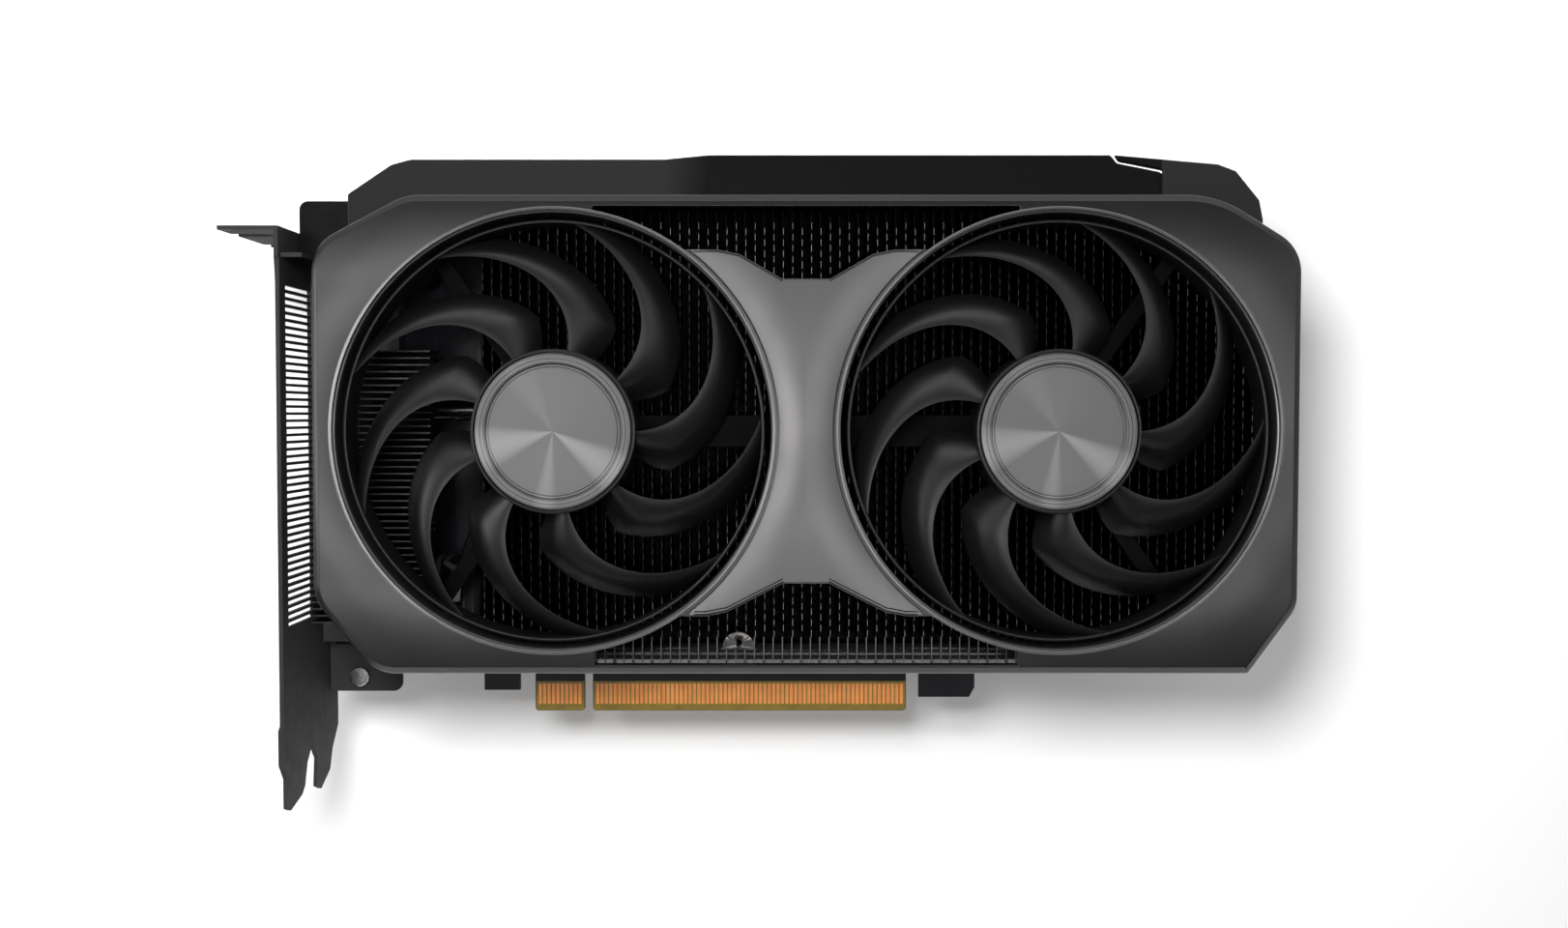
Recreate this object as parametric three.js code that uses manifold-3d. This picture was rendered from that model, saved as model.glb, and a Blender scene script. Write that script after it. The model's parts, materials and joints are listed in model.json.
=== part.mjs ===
// Dual-fan graphics card, in millimetres, standing upright on its edge connector: +X runs along the
// card away from the slot bracket, +Z points away from the edge connector, and the fans face -Y. The
// origin is the bottom face of the connector's long section, at its middle and at the middle of the
// board's thickness.
import * as THREE from "three";
import { mergeVertices } from "three/addons/utils/BufferGeometryUtils.js";
import Module from "manifold-3d";

const wasm = await Module();
wasm.setup();

// ---------------------------------------------------------------- driving dimensions
const GAP = 0.3; // clearance between neighbouring pieces
const FAN_SIDES = 48; // facets round a fan-sized circle
const FAR = 300; // beyond every piece, for cuts that run right out

// board and edge connector
const BOARD_FRONT = -0.785;
const BOARD_BACK = 0.785;
const EDGE_HALF = 35.55; // half of the connector's long section
const KEY_LEFT = -37.45; // key notch
const SHORT_LEFT = -48.6;
const BOARD_BOTTOM = 9.2;
const BOARD_TOP = 104;
const BOARD_LEFT = -93.9;
const BOARD_RIGHT = 98;

// slot bracket, two slots wide
const BRACKET_OUTER = -95.55; // outer face
const SHEET = 0.86;
const BRACKET_INNER = BRACKET_OUTER + SHEET;
const BRACKET_NEAR = -35.4; // edge on the fan side
const BRACKET_FAR = 3.35; // edge on the board's back side
const EAR_TOP = 105.56;
const EAR_DEPTH = 11.43;
const SLOT_PITCH = 20.32; // from one expansion slot to the next

// cooler housing
const CARD_X = 12.35; // middle of the housing
const SHROUD_FRONT = -34.5;
const SHROUD_PLATE = 2.2;
const SHROUD_WALL = 1.2;
const SKIRT_BACK = -11;
const HOUSING = [
  // outline corners seen from the fan side: x, z, corner radius
  [-88.7, 101.7, 9],
  [-69.2, 112.1, 12],
  [95.9, 112.1, 22],
  [113.45, 101.2, 9],
  [113.3, 27.8, 7],
  [103.25, 14, 1],
  [-76.1, 14, 9],
  [-88.7, 29.2, 9],
];

// fans
const FAN_Z = 63.8;
const FAN_OFFSET = 51.7; // each fan's distance from the middle of the housing
const OPENING_R = 44.6;
const DUCT_R = 45.75; // outside of the wall round an opening
const DUCT_BACK = -24.2;
const ROTOR_R = 43.3;
const ROTOR_RING = 1.0;
const ROTOR_BACK = -24.6;
const HUB_R = 16.9;
const HUB_FRONT = -34.2;
const BLADES = 9;
const BASE_FRONT = -23.9;
const BASE_BACK = -22.3;

// cooler inside
const FIN_FRONT = -20;
const FIN_BACK = -11;
const FIN_T = 0.4;
const PIPE_R = 2.4;
const PIPE_Y = -7.6; // the layer behind the fins
const PIPE_LOW = [-17, 15.6]; // y and z of the run along the fins' lower ends

// top cover and back
const COVER_FRONT = -26.5;
const COVER_BACK = 3.3;
const COVER_WALL = 1.5;
const SEAM_X = 75.7; // where the cover ends and the end fence starts
const FRAME_BACK = -1.1;
const PLATE_FRONT = 2.3;
const PLATE_BACK = 3.3;

// ---------------------------------------------------------------- materials
const finish = (color, roughness, metalness) => ({ color, roughness, metalness });
const SATIN_GREY = finish(0x4a4a4b, 0.45, 0.6);
const SILVER = finish(0x9a9898, 0.4, 0.7);
const BLACK_PLASTIC = finish(0x141415, 0.5, 0);
const FAN_BLACK = finish(0x1c1c1d, 0.4, 0);
const SPUN_ALUMINIUM = finish(0xb9b9bb, 0.3, 1);
const BLACK_STEEL = finish(0x2c2c2e, 0.5, 0.6);
const FIN_ALUMINIUM = finish(0x8a8b8d, 0.4, 1);
const COPPER = finish(0xb87048, 0.35, 1);
const BOARD_MASK = finish(0x1b1d24, 0.5, 0);
const CHIP = finish(0x202022, 0.6, 0);
const SILICON = finish(0x565d68, 0.25, 0.4);
const PLATED_STEEL = finish(0x8e8f92, 0.3, 1);
const WHITE_PLASTIC = finish(0xdfe3ea, 0.5, 0);
const SLEEVE_BLACK = finish(0x111112, 0.7, 0);
const WINDING = finish(0x9c5a33, 0.4, 0.8);

// ---------------------------------------------------------------- shape helpers
const card = new THREE.Group();

function addNode(name, geometry, look, parent = card) {
  const mesh = new THREE.Mesh(geometry, new THREE.MeshStandardMaterial(look));
  mesh.name = name;
  parent.add(mesh);
  return mesh;
}

function toSolid(geometry) {
  const bare = geometry.clone();
  bare.deleteAttribute("normal");
  bare.deleteAttribute("uv");
  const merged = mergeVertices(bare, 1e-4);
  const vertProperties = new Float32Array(merged.attributes.position.array);
  const triVerts = new Uint32Array(merged.index.array);
  return new wasm.Manifold(new wasm.Mesh({ numProp: 3, vertProperties, triVerts }));
}

function toGeometry(solid) {
  const mesh = solid.getMesh();
  const geometry = new THREE.BufferGeometry();
  geometry.setAttribute("position", new THREE.BufferAttribute(mesh.vertProperties, 3));
  geometry.setIndex(new THREE.BufferAttribute(mesh.triVerts, 1));
  return geometry;
}

function join(...pieces) {
  return toGeometry(pieces.map(toSolid).reduce((sum, piece) => sum.add(piece)));
}

function cut(geometry, ...tools) {
  return toGeometry(tools.map(toSolid).reduce((rest, tool) => rest.subtract(tool), toSolid(geometry)));
}

function box(x0, x1, y0, y1, z0, z1) {
  const geometry = new THREE.BoxGeometry(x1 - x0, y1 - y0, z1 - z0);
  return geometry.translate((x0 + x1) / 2, (y0 + y1) / 2, (z0 + z1) / 2);
}

function polygon(points) {
  return new THREE.Shape(points.map(([u, v]) => new THREE.Vector2(u, v)));
}

// a closed outline whose corners are rounded: each point is u, v and a corner radius
function rounded(points, steps = 5) {
  const outline = [];
  points.forEach(([u, v, radius = 0], index) => {
    const corner = new THREE.Vector2(u, v);
    if (radius === 0) {
      outline.push(corner);
      return;
    }
    const [pu, pv] = points[(index + points.length - 1) % points.length];
    const [nu, nv] = points[(index + 1) % points.length];
    const back = new THREE.Vector2(pu, pv).sub(corner).normalize();
    const ahead = new THREE.Vector2(nu, nv).sub(corner).normalize();
    const half = back.angleTo(ahead) / 2;
    const reach = radius / Math.tan(half);
    const inward = back.clone().add(ahead).normalize();
    const middle = inward.multiplyScalar(radius / Math.sin(half)).add(corner);
    const from = back.multiplyScalar(reach).add(corner).sub(middle);
    const to = ahead.multiplyScalar(reach).add(corner).sub(middle);
    const sweep = Math.atan2(from.cross(to), from.dot(to));
    for (let step = 0; step <= steps; step++) {
      const turn = (sweep * step) / steps;
      outline.push(from.clone().rotateAround(new THREE.Vector2(), turn).add(middle));
    }
  });
  return new THREE.Shape(outline);
}

function circle(u, v, radius, sides = FAN_SIDES) {
  const points = [];
  for (let side = 0; side < sides; side++) {
    const angle = (2 * Math.PI * side) / sides;
    points.push([u + radius * Math.cos(angle), v + radius * Math.sin(angle)]);
  }
  return polygon(points);
}

function extrude(shape, depth) {
  return new THREE.ExtrudeGeometry(shape, { depth, bevelEnabled: false, curveSegments: 12 });
}

// a shape drawn in x, z and thickened along y
function plate(shape, y0, y1) {
  return extrude(shape, y1 - y0).rotateX(Math.PI / 2).translate(0, y1, 0);
}

// a shape drawn in y, z and thickened along x
function sheetX(shape, x0, x1) {
  return extrude(shape, x1 - x0).rotateX(Math.PI / 2).rotateZ(Math.PI / 2).translate(x0, 0, 0);
}

// a shape drawn in x, y and thickened along z
function slabZ(shape, z0, z1) {
  return extrude(shape, z1 - z0).translate(0, 0, z0);
}

// a turned body on an axis along y: the profile is radius, y
function turned(profile, sides) {
  const points = profile.map(([radius, y]) => new THREE.Vector2(radius, y));
  const doubled = points.reduce((sum, point, index) => {
    const next = points[(index + 1) % points.length];
    return sum + point.x * next.y - next.x * point.y;
  }, 0);
  const ordered = doubled < 0 ? points.reverse() : points;
  const onAxis = ordered.filter((point) => point.x === 0).length >= 2;
  if (onAxis) {
    while (!(ordered[0].x === 0 && ordered[ordered.length - 1].x === 0)) {
      ordered.push(ordered.shift());
    }
  } else {
    ordered.push(ordered[0].clone());
  }
  return new THREE.LatheGeometry(ordered, sides);
}

// a round bar along a smooth path
function bar(points, radius, steps, sides = 8) {
  const stops = points.map((point) => new THREE.Vector3(...point));
  const path = new THREE.CatmullRomCurve3(stops, false, "centripetal");
  const section = circle(0, 0, radius, sides);
  return new THREE.ExtrudeGeometry(section, { steps, extrudePath: path, bevelEnabled: false });
}

// ---------------------------------------------------------------- outlines
// the housing's outline, moved outwards by grow
function housing(grow = 0) {
  const middle = new THREE.Vector2(CARD_X, FAN_Z);
  const count = HOUSING.length;
  const lines = HOUSING.map(([x, z], index) => {
    const start = new THREE.Vector2(x, z);
    const end = new THREE.Vector2(...HOUSING[(index + 1) % count].slice(0, 2));
    const along = end.clone().sub(start).normalize();
    const outward = new THREE.Vector2(along.y, -along.x);
    if (outward.dot(start.clone().sub(middle)) < 0) outward.negate();
    return { start: start.addScaledVector(outward, grow), along };
  });
  const corners = lines.map((line, index) => {
    const before = lines[(index + count - 1) % count];
    const offset = line.start.clone().sub(before.start);
    const reach = offset.cross(line.along) / before.along.cross(line.along);
    const corner = before.start.clone().addScaledVector(before.along, reach);
    return [corner.x, corner.y, Math.max(HOUSING[index][2] + grow, 0.3)];
  });
  return rounded(corners.reverse());
}

const fanX = (side) => CARD_X + side * FAN_OFFSET;
const fanCircle = (side, radius) => circle(fanX(side), FAN_Z, radius);

// half of the hourglass between the windows, as x from the middle and z: its two tips and the bends
const TIP_LOW = [24.9, 26.0];
const WAIST_LOW = [
  [20.5, 26.0],
  [16.3, 26.8],
  [4.8, 32.7],
];
const WAIST_TOP = [
  [4.9, 94.9],
  [13.6, 99.9],
  [18.0, 100.8],
];
const TIP_TOP = [24.9, 100.8];
const across = (points, side) => points.map(([x, z]) => [CARD_X + side * x, z]);

function lowerWindow() {
  const end = [[38, 21.2], [43.6, 18.6], [43.6, 15.2]];
  return polygon([
    ...across(end, 1).reverse(),
    ...across([TIP_LOW, ...WAIST_LOW], 1),
    ...across([TIP_LOW, ...WAIST_LOW], -1).reverse(),
    ...across(end, -1),
  ]);
}

function upperWindow() {
  const end = [[38, 106.4], [43.2, 108.8], [43.2, 109.6]];
  return polygon([
    ...across(end, -1).reverse(),
    ...across([...WAIST_TOP, TIP_TOP], -1).reverse(),
    ...across([...WAIST_TOP, TIP_TOP], 1),
    ...across(end, 1),
  ]);
}

// the whole hourglass, with its tips this far from the middle
function hourglass(reach) {
  const side = (sign) => [
    ...across(WAIST_LOW, sign).reverse(),
    ...across([[reach, TIP_LOW[1]], [reach, TIP_TOP[1]]], sign),
    ...across(WAIST_TOP, sign).reverse(),
  ];
  return polygon([...side(1), ...side(-1).reverse()]);
}

// ---------------------------------------------------------------- housing pieces
function frontShroud() {
  const trimSeat = -33.2;
  // the side towards the board's lower edge is open to the fins
  const openBelow = { back: -27, right: 101.5, top: 20 };
  // the end towards the bracket is open for the air that leaves through it
  const openEnd = { back: -31, right: -74, bottom: 14.5, top: 92 };
  const duct = (side) => plate(fanCircle(side, DUCT_R), SHROUD_FRONT - 0.2, DUCT_BACK);
  const shell = cut(
    join(
      plate(housing(), SHROUD_FRONT, SHROUD_FRONT + SHROUD_PLATE),
      cut(
        plate(housing(), SHROUD_FRONT + 1, SKIRT_BACK),
        plate(housing(-SHROUD_WALL), SHROUD_FRONT, SKIRT_BACK + 1),
      ),
    ),
    plate(upperWindow(), SHROUD_FRONT - 1, SKIRT_BACK),
    plate(lowerWindow(), SHROUD_FRONT - 1, openBelow.back - 1),
    plate(hourglass(TIP_LOW[0] + 1.1), SHROUD_FRONT - 1, trimSeat),
    box(-FAR, openBelow.right, openBelow.back, FAR, -FAR, openBelow.top),
    box(-FAR, openEnd.right, openEnd.back, FAR, openEnd.bottom, openEnd.top),
  );
  return cut(
    join(shell, duct(-1), duct(1)),
    plate(fanCircle(-1, OPENING_R), -FAR, FAR),
    plate(fanCircle(1, OPENING_R), -FAR, FAR),
  );
}

function centreTrim() {
  const front = -34.85;
  const back = -33.5;
  return cut(
    plate(hourglass(TIP_LOW[0] - GAP), front, back),
    plate(fanCircle(-1, DUCT_R + GAP), -FAR, FAR),
    plate(fanCircle(1, DUCT_R + GAP), -FAR, FAR),
  );
}

// the cover's outline on the fan side, from its left foot round to the seam
const COVER_TOP = [
  [-83, 100],
  [-83, 113.1, 0.6],
  [-73.9, 119.2, 3],
  [-69.8, 120.3, 3],
  [-17.1, 120.3, 4],
  [-7.8, 121.2, 4],
  [SEAM_X, 121.2],
];
const COVER_SEAM = [
  [77.1, 119.5],
  [86.2, 117.7],
  [86.2, 100],
];

function topCover() {
  const outline = rounded([...COVER_TOP, ...COVER_SEAM].reverse(), 3);
  const hollow = polygon([
    [-81.5, 90],
    [-81.5, 112.3],
    [-73, 117.8],
    [-69.6, 118.8],
    [-17, 118.8],
    [-7.8, 119.7],
    [SEAM_X - COVER_WALL, 119.7],
    [SEAM_X - COVER_WALL, 90],
  ].reverse());
  return cut(
    plate(outline, COVER_FRONT, COVER_BACK),
    plate(hollow, COVER_FRONT + COVER_WALL, COVER_BACK - COVER_WALL),
    plate(housing(GAP), -FAR, FAR),
    // past the seam only the front wall goes on
    box(SEAM_X + 0.4, FAR, COVER_FRONT + COVER_WALL, FAR, -FAR, FAR),
  );
}

function topCoverEnd() {
  const slit = 0.5;
  const outer = [
    [76.6, 121.2],
    [98.2, 119.3, 1],
    [101.9, 117.9, 1],
    [106.8, 111.9, 1],
    [107.6, 107.9],
    [107.6, 100],
    [86.2 + slit, 100],
    [86.2 + slit, 118.1],
    [77.5, 119.9],
  ];
  const behind = [
    [60, 95],
    [106.2, 95],
    [106.2, 107.6],
    [105.4, 111.2],
    [100.4, 117],
    [100.4, 125],
    [60, 125],
  ];
  return cut(
    plate(rounded(outer.reverse(), 3), COVER_FRONT, COVER_BACK),
    plate(polygon(behind), COVER_FRONT + COVER_WALL, FAR),
    plate(housing(GAP), -FAR, FAR),
  );
}

// where the backplate's screws go through the board, as x and z
const BACK_SCREWS = [
  [-72, 98],
  [71, 98],
  [92, 20],
  [-72, 22],
];
const SCREW_HOLE = 1.5;
const along = (x, z, radius, y0, y1, sides = 10) => plate(circle(x, z, radius, sides), y0, y1);

function midFrame() {
  const wall = 1.6;
  const front = SKIRT_BACK + GAP;
  const top = 110.6;
  const bottom = 15;
  const shoulderFront = -22.5;
  const shoulderRight = -83.4;
  const shoulderTop = 112.2;
  const shoulderBottom = 100.7;
  // below the shoulder the frame starts clear of the sockets
  const openLeft = -76.9;
  const [cradleLeft, cradleRight, cradleFloor] = [79.6, 98.4, 99.6];
  const cradleWall = 1.4;
  const ring = cut(
    plate(housing(), front, FRAME_BACK),
    plate(housing(-wall), -FAR, FAR),
    box(-FAR, openLeft, -FAR, FAR, -FAR, shoulderBottom - 0.2),
  );
  const shoulder = cut(
    plate(
      rounded([
        [BRACKET_INNER + 0.39, shoulderBottom],
        [shoulderRight, shoulderBottom],
        [shoulderRight, shoulderTop],
        [BRACKET_INNER + 0.39, shoulderTop, 1.8],
      ]),
      shoulderFront,
      FRAME_BACK,
    ),
    plate(housing(GAP), -FAR, front),
  );
  const posts = BACK_SCREWS.map(([x, z]) => {
    const [low, high] = z > FAN_Z ? [z, top] : [bottom, z];
    return join(along(x, z, 3, front, FRAME_BACK), box(x - 1, x + 1, front, FRAME_BACK, low, high));
  });
  // the top wall dips round the power socket
  const cradle = box(
    cradleLeft - cradleWall,
    cradleRight + cradleWall,
    front,
    FRAME_BACK,
    cradleFloor - cradleWall,
    top,
  );
  // air slots in the wall at the far end
  const ventHeight = 9;
  const vents = [-2, -1, 0, 1, 2].map((step) => {
    const z = 60 + step * 12;
    return box(110, FAR, front + 2.5, FRAME_BACK - 2.5, z, z + ventHeight);
  });
  return cut(
    join(ring, shoulder, ...posts, cradle),
    ...vents,
    box(cradleLeft, cradleRight, -FAR, FAR, cradleFloor, FAR),
    ...BACK_SCREWS.map(([x, z]) => along(x, z, SCREW_HOLE, front + 1, FAR)),
  );
}

// the four corners of the square that the processor's spring screws make
const CHIP_X = 6;
const CHIP_Z = 62;
const CLAMP_REACH = 28;
const CLAMP_SCREWS = [-1, 1].flatMap((sx) =>
  [-1, 1].map((sz) => [CHIP_X + sx * CLAMP_REACH, CHIP_Z + sz * CLAMP_REACH]));

function backplate() {
  const outline = [
    [-88, 12],
    [-76, 10.5, 3],
    [101.5, 10.5, 3],
    [112.9, 26.5, 6],
    [112.9, 101, 8],
    [95.8, 111.8, 20],
    [-69, 111.8, 10],
    [-88, 101.6, 6],
  ];
  const rim = 1.2;
  const window = 34;
  const corner = 10;
  const foldStart = { x: 99.5, z: 30, left: -70 };
  const opening = rounded([
    [CHIP_X - window, CHIP_Z - window, corner],
    [CHIP_X + window, CHIP_Z - window, corner],
    [CHIP_X + window, CHIP_Z + window, corner],
    [CHIP_X - window, CHIP_Z + window, corner],
  ], 2);
  // folded rim along the top and the far end
  const fold = cut(
    plate(rounded(outline), -0.7, PLATE_BACK),
    plate(housing(-rim - GAP), -FAR, PLATE_FRONT),
    box(-FAR, foldStart.x, -FAR, PLATE_FRONT, -FAR, foldStart.z),
    box(-FAR, foldStart.left, -FAR, PLATE_FRONT, -FAR, FAR),
  );
  return cut(
    fold,
    plate(opening, -FAR, FAR),
    // each screw head sits in a seat, half sunk in the plate
    ...BACK_SCREWS.map(([x, z]) => along(x, z, 2.7, PLATE_FRONT + 0.4, FAR)),
    ...BACK_SCREWS.map(([x, z]) => along(x, z, SCREW_HOLE, -2, PLATE_BACK)),
  );
}

// ---------------------------------------------------------------- slot bracket
const SOCKET_Z = [82, 63, 44, 25];
const SOCKET_Y = [-7, BOARD_FRONT - GAP];
const SOCKET_HALF = 8.3;
const FLANGE_Y = [-1.95, BOARD_FRONT - GAP];
const NOTCH_X = BRACKET_OUTER - 5.2; // middle of the round end of each screw notch
const NOTCH_R = 2.2;
const NOTCH_Y = [-5, -5 - SLOT_PITCH];
const FLANGE_SCREWS = [
  [-87.9, 8.2],
  [-87.9, 96],
];

function ioBracket() {
  const vents = { count: 48, pitch: 1.485, height: 0.9, bottom: 23.2, near: -30.9, far: -14 };
  const side = polygon([
    [BRACKET_FAR, EAR_TOP],
    [BRACKET_NEAR, EAR_TOP],
    [BRACKET_NEAR, 99.5],
    [BRACKET_NEAR + 0.7, 98.8],
    [BRACKET_NEAR + 0.7, 3.4],
    [BRACKET_NEAR - 0.4, 2.6],
    [BRACKET_NEAR - 0.4, -4.6],
    [-33, -8],
    [-33, -14.2],
    [-30.6, -15.1],
    [-23, -13.6],
    [-21.2, -12.2],
    [-19.4, -7.6],
    [-16, -4.3],
    [-12.2, -8.2],
    [-13, -14.3],
    [-9.8, -15.6],
    [-3.2, -12.8],
    [-1.2, -8.4],
    [BRACKET_FAR, -3.8],
  ]);
  const ear = cut(
    box(BRACKET_OUTER - EAR_DEPTH, BRACKET_INNER, BRACKET_NEAR, BRACKET_FAR, EAR_TOP - SHEET, EAR_TOP),
    ...NOTCH_Y.flatMap((y) => [
      slabZ(circle(NOTCH_X, y, NOTCH_R, 16), -FAR, FAR),
      box(-FAR, NOTCH_X, y - NOTCH_R, y + NOTCH_R, -FAR, FAR),
    ]),
  );
  const flange = (low, high, reach) => plate(
    rounded([[BRACKET_INNER - 0.3, low], [reach, low, 2], [reach, high], [BRACKET_INNER - 0.3, high]]),
    ...FLANGE_Y,
  );
  const slots = Array.from({ length: vents.count }, (_, index) => {
    const z = vents.bottom + index * vents.pitch;
    return box(BRACKET_OUTER - 1, BRACKET_INNER + 1, vents.near, vents.far, z, z + vents.height);
  });
  const mouths = SOCKET_Z.map((z) => box(
    BRACKET_OUTER - 1,
    BRACKET_INNER + 1,
    SOCKET_Y[0] - GAP,
    -0.6,
    z - SOCKET_HALF - GAP,
    z + SOCKET_HALF + GAP,
  ));
  return cut(
    join(
      sheetX(side, BRACKET_OUTER, BRACKET_INNER),
      ear,
      flange(4.7, 15.5, -78.5),
      flange(92, 100.2, -83),
      // a small fold that meets the housing's shoulder
      box(BRACKET_INNER - 0.3, -90.5, -33.5, -23, 99.4, 100.3),
    ),
    ...slots,
    ...mouths,
    ...FLANGE_SCREWS.map(([x, z]) => along(x, z, SCREW_HOLE, -3, 0)),
  );
}

// ---------------------------------------------------------------- board and what it carries
function board() {
  const edge = 0.5; // corner cut of the connector
  const outline = polygon([
    [BOARD_LEFT, BOARD_BOTTOM],
    [-60.2, BOARD_BOTTOM],
    [-60.2, 4.7],
    [-52.1, 4.7],
    [-52.1, BOARD_BOTTOM],
    [SHORT_LEFT, BOARD_BOTTOM],
    [SHORT_LEFT, edge],
    [SHORT_LEFT + edge, 0],
    [KEY_LEFT - edge, 0],
    [KEY_LEFT, edge],
    [KEY_LEFT, 8.4],
    [-EDGE_HALF, 8.4],
    [-EDGE_HALF, edge],
    [-EDGE_HALF + edge, 0],
    [EDGE_HALF - edge, 0],
    [EDGE_HALF, edge],
    [EDGE_HALF, BOARD_BOTTOM],
    [38.4, BOARD_BOTTOM],
    [38.4, 3.1],
    [49.9, 3.1],
    [51.1, 5.3],
    [51.1, BOARD_BOTTOM],
    [BOARD_RIGHT - 5, BOARD_BOTTOM],
    [BOARD_RIGHT, BOARD_BOTTOM + 5],
    [BOARD_RIGHT, BOARD_TOP],
    [BOARD_LEFT, BOARD_TOP],
  ]);
  const holes = [...BACK_SCREWS, ...CLAMP_SCREWS, ...FLANGE_SCREWS];
  return cut(
    plate(outline, BOARD_FRONT, BOARD_BACK),
    ...holes.map(([x, z]) => along(x, z, SCREW_HOLE + 0.1, -3, 3)),
  );
}

// a chip or block standing on the board's front
function onBoard(x, z, width, height, thickness) {
  const back = BOARD_FRONT - GAP;
  return box(x - width / 2, x + width / 2, back - thickness, back, z - height / 2, z + height / 2);
}

function displaySocket(z, mouthHalf) {
  const [front, back] = SOCKET_Y;
  const mouth = BRACKET_OUTER + 0.15;
  const depth = 18;
  const wall = 0.6;
  return join(
    cut(
      box(mouth, mouth + depth, front, back, z - SOCKET_HALF, z + SOCKET_HALF),
      box(mouth - 1, mouth + depth - 5, front + wall, back - wall, z - mouthHalf, z + mouthHalf),
    ),
    // the tongue that carries the contacts
    box(mouth + 1, mouth + depth - 4, -4.6, -3.4, z - mouthHalf + 2.2, z + mouthHalf - 2.2),
  );
}

function powerSocket() {
  const bottom = 100;
  const top = 117.4;
  const cell = 4.2;
  const half = 1.7;
  const columns = [0, 1, 2, 3].map((column) => 82.7 + column * cell);
  const rows = [-7.8, -3.6];
  const cells = columns.flatMap((x) =>
    rows.map((y) => box(x - half, x + half, y - half, y + half, bottom + 5, top + 1)));
  const front = -10;
  const body = box(80.3, 97.7, front, FRAME_BACK - GAP, bottom, top);
  const latchRail = box(86.5, 91.5, front - 0.6, front + 0.3, bottom + 9, top - 1.5);
  return cut(join(body, latchRail), ...cells);
}

// ---------------------------------------------------------------- cooler
function mainFins() {
  const pitch = 4; // one plate here stands for two thin ones
  const first = -56.6;
  const last = 110.4;
  const top = 110.6;
  const bottom = 12.8;
  // the lower pipe runs in a notch along the front
  const notchBack = -13.9;
  const notchTop = 20;
  const fin = polygon([
    [FIN_BACK, bottom],
    [FIN_BACK, top],
    [FIN_FRONT, top],
    [FIN_FRONT, notchTop],
    [notchBack, notchTop],
    [notchBack, bottom],
  ]);
  const count = Math.floor((last - first) / pitch) + 1;
  const fins = Array.from({ length: count }, (_, index) => {
    const x = first + index * pitch;
    return sheetX(fin, x, x + FIN_T);
  });
  const backSheet = box(first, last, FIN_BACK - 0.5, FIN_BACK, bottom, top);
  // the stack keeps inside the housing, and reaches past it only along the board's lower edge
  const room = join(
    plate(housing(-SHROUD_WALL - GAP), -FAR, FAR),
    box(-FAR, BOARD_RIGHT, -FAR, FAR, -FAR, FAN_Z),
  );
  return toGeometry(toSolid(join(backSheet, ...fins)).intersect(toSolid(room)));
}

function endFins() {
  const pitch = 2.9; // one plate here stands for two thin ones
  const [left, right] = [-87.2, -67.6];
  const longLeft = -93.6;
  const bottom = 22.6;
  const count = 21;
  const longCount = 11;
  const fins = Array.from({ length: count }, (_, index) => {
    const z = bottom + index * pitch;
    return box(index < longCount ? longLeft : left, right, FIN_FRONT, FIN_BACK, z, z + FIN_T);
  });
  return join(
    box(left + 1, right - 1, FIN_BACK - 0.5, FIN_BACK, bottom + 0.1, bottom + (count - 1) * pitch + 0.3),
    ...fins,
  );
}

function lowerPipe() {
  const [y, z] = PIPE_LOW;
  const x = -60.2;
  return bar([
    [30, PIPE_Y, 50],
    [-10, PIPE_Y, 50],
    [-44, PIPE_Y, 50],
    [-55, -7.9, 48],
    [x, -9.6, 40],
    [x, -14.2, 28],
    [x, -16.4, 20.2],
    [-59, y, 16.8],
    [-55.6, y, z],
    [-50, y, z],
    [-40, y, z],
    [20, y, z],
    [100, y, z],
  ], PIPE_R, 34);
}

// a pipe that stays in the layer behind the fins, as x and z
const flatPipe = (points) => bar(points.map(([x, z]) => [x, PIPE_Y, z]), PIPE_R, 14);

function coldPlate() {
  const edge = 3;
  const reach = CLAMP_REACH + edge;
  return cut(
    box(CHIP_X - reach, CHIP_X + reach, -4.95, -3.4, CHIP_Z - reach, CHIP_Z + reach),
    ...CLAMP_SCREWS.map(([x, z]) => along(x, z, SCREW_HOLE, -6, -2)),
  );
}

function clampPlate() {
  const arm = 4;
  const reach = CLAMP_REACH + 2;
  const cross = [45, 135].map((turn) => {
    const length = reach * Math.SQRT2;
    return box(-length, length, 1.1, 2, -arm, arm)
      .rotateY(THREE.MathUtils.degToRad(turn))
      .translate(CHIP_X, 0, CHIP_Z);
  });
  return cut(
    join(...cross, plate(circle(CHIP_X, CHIP_Z, 13, 24), 1.1, 2)),
    ...CLAMP_SCREWS.map(([x, z]) => along(x, z, SCREW_HOLE, 0, 3)),
  );
}

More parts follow.
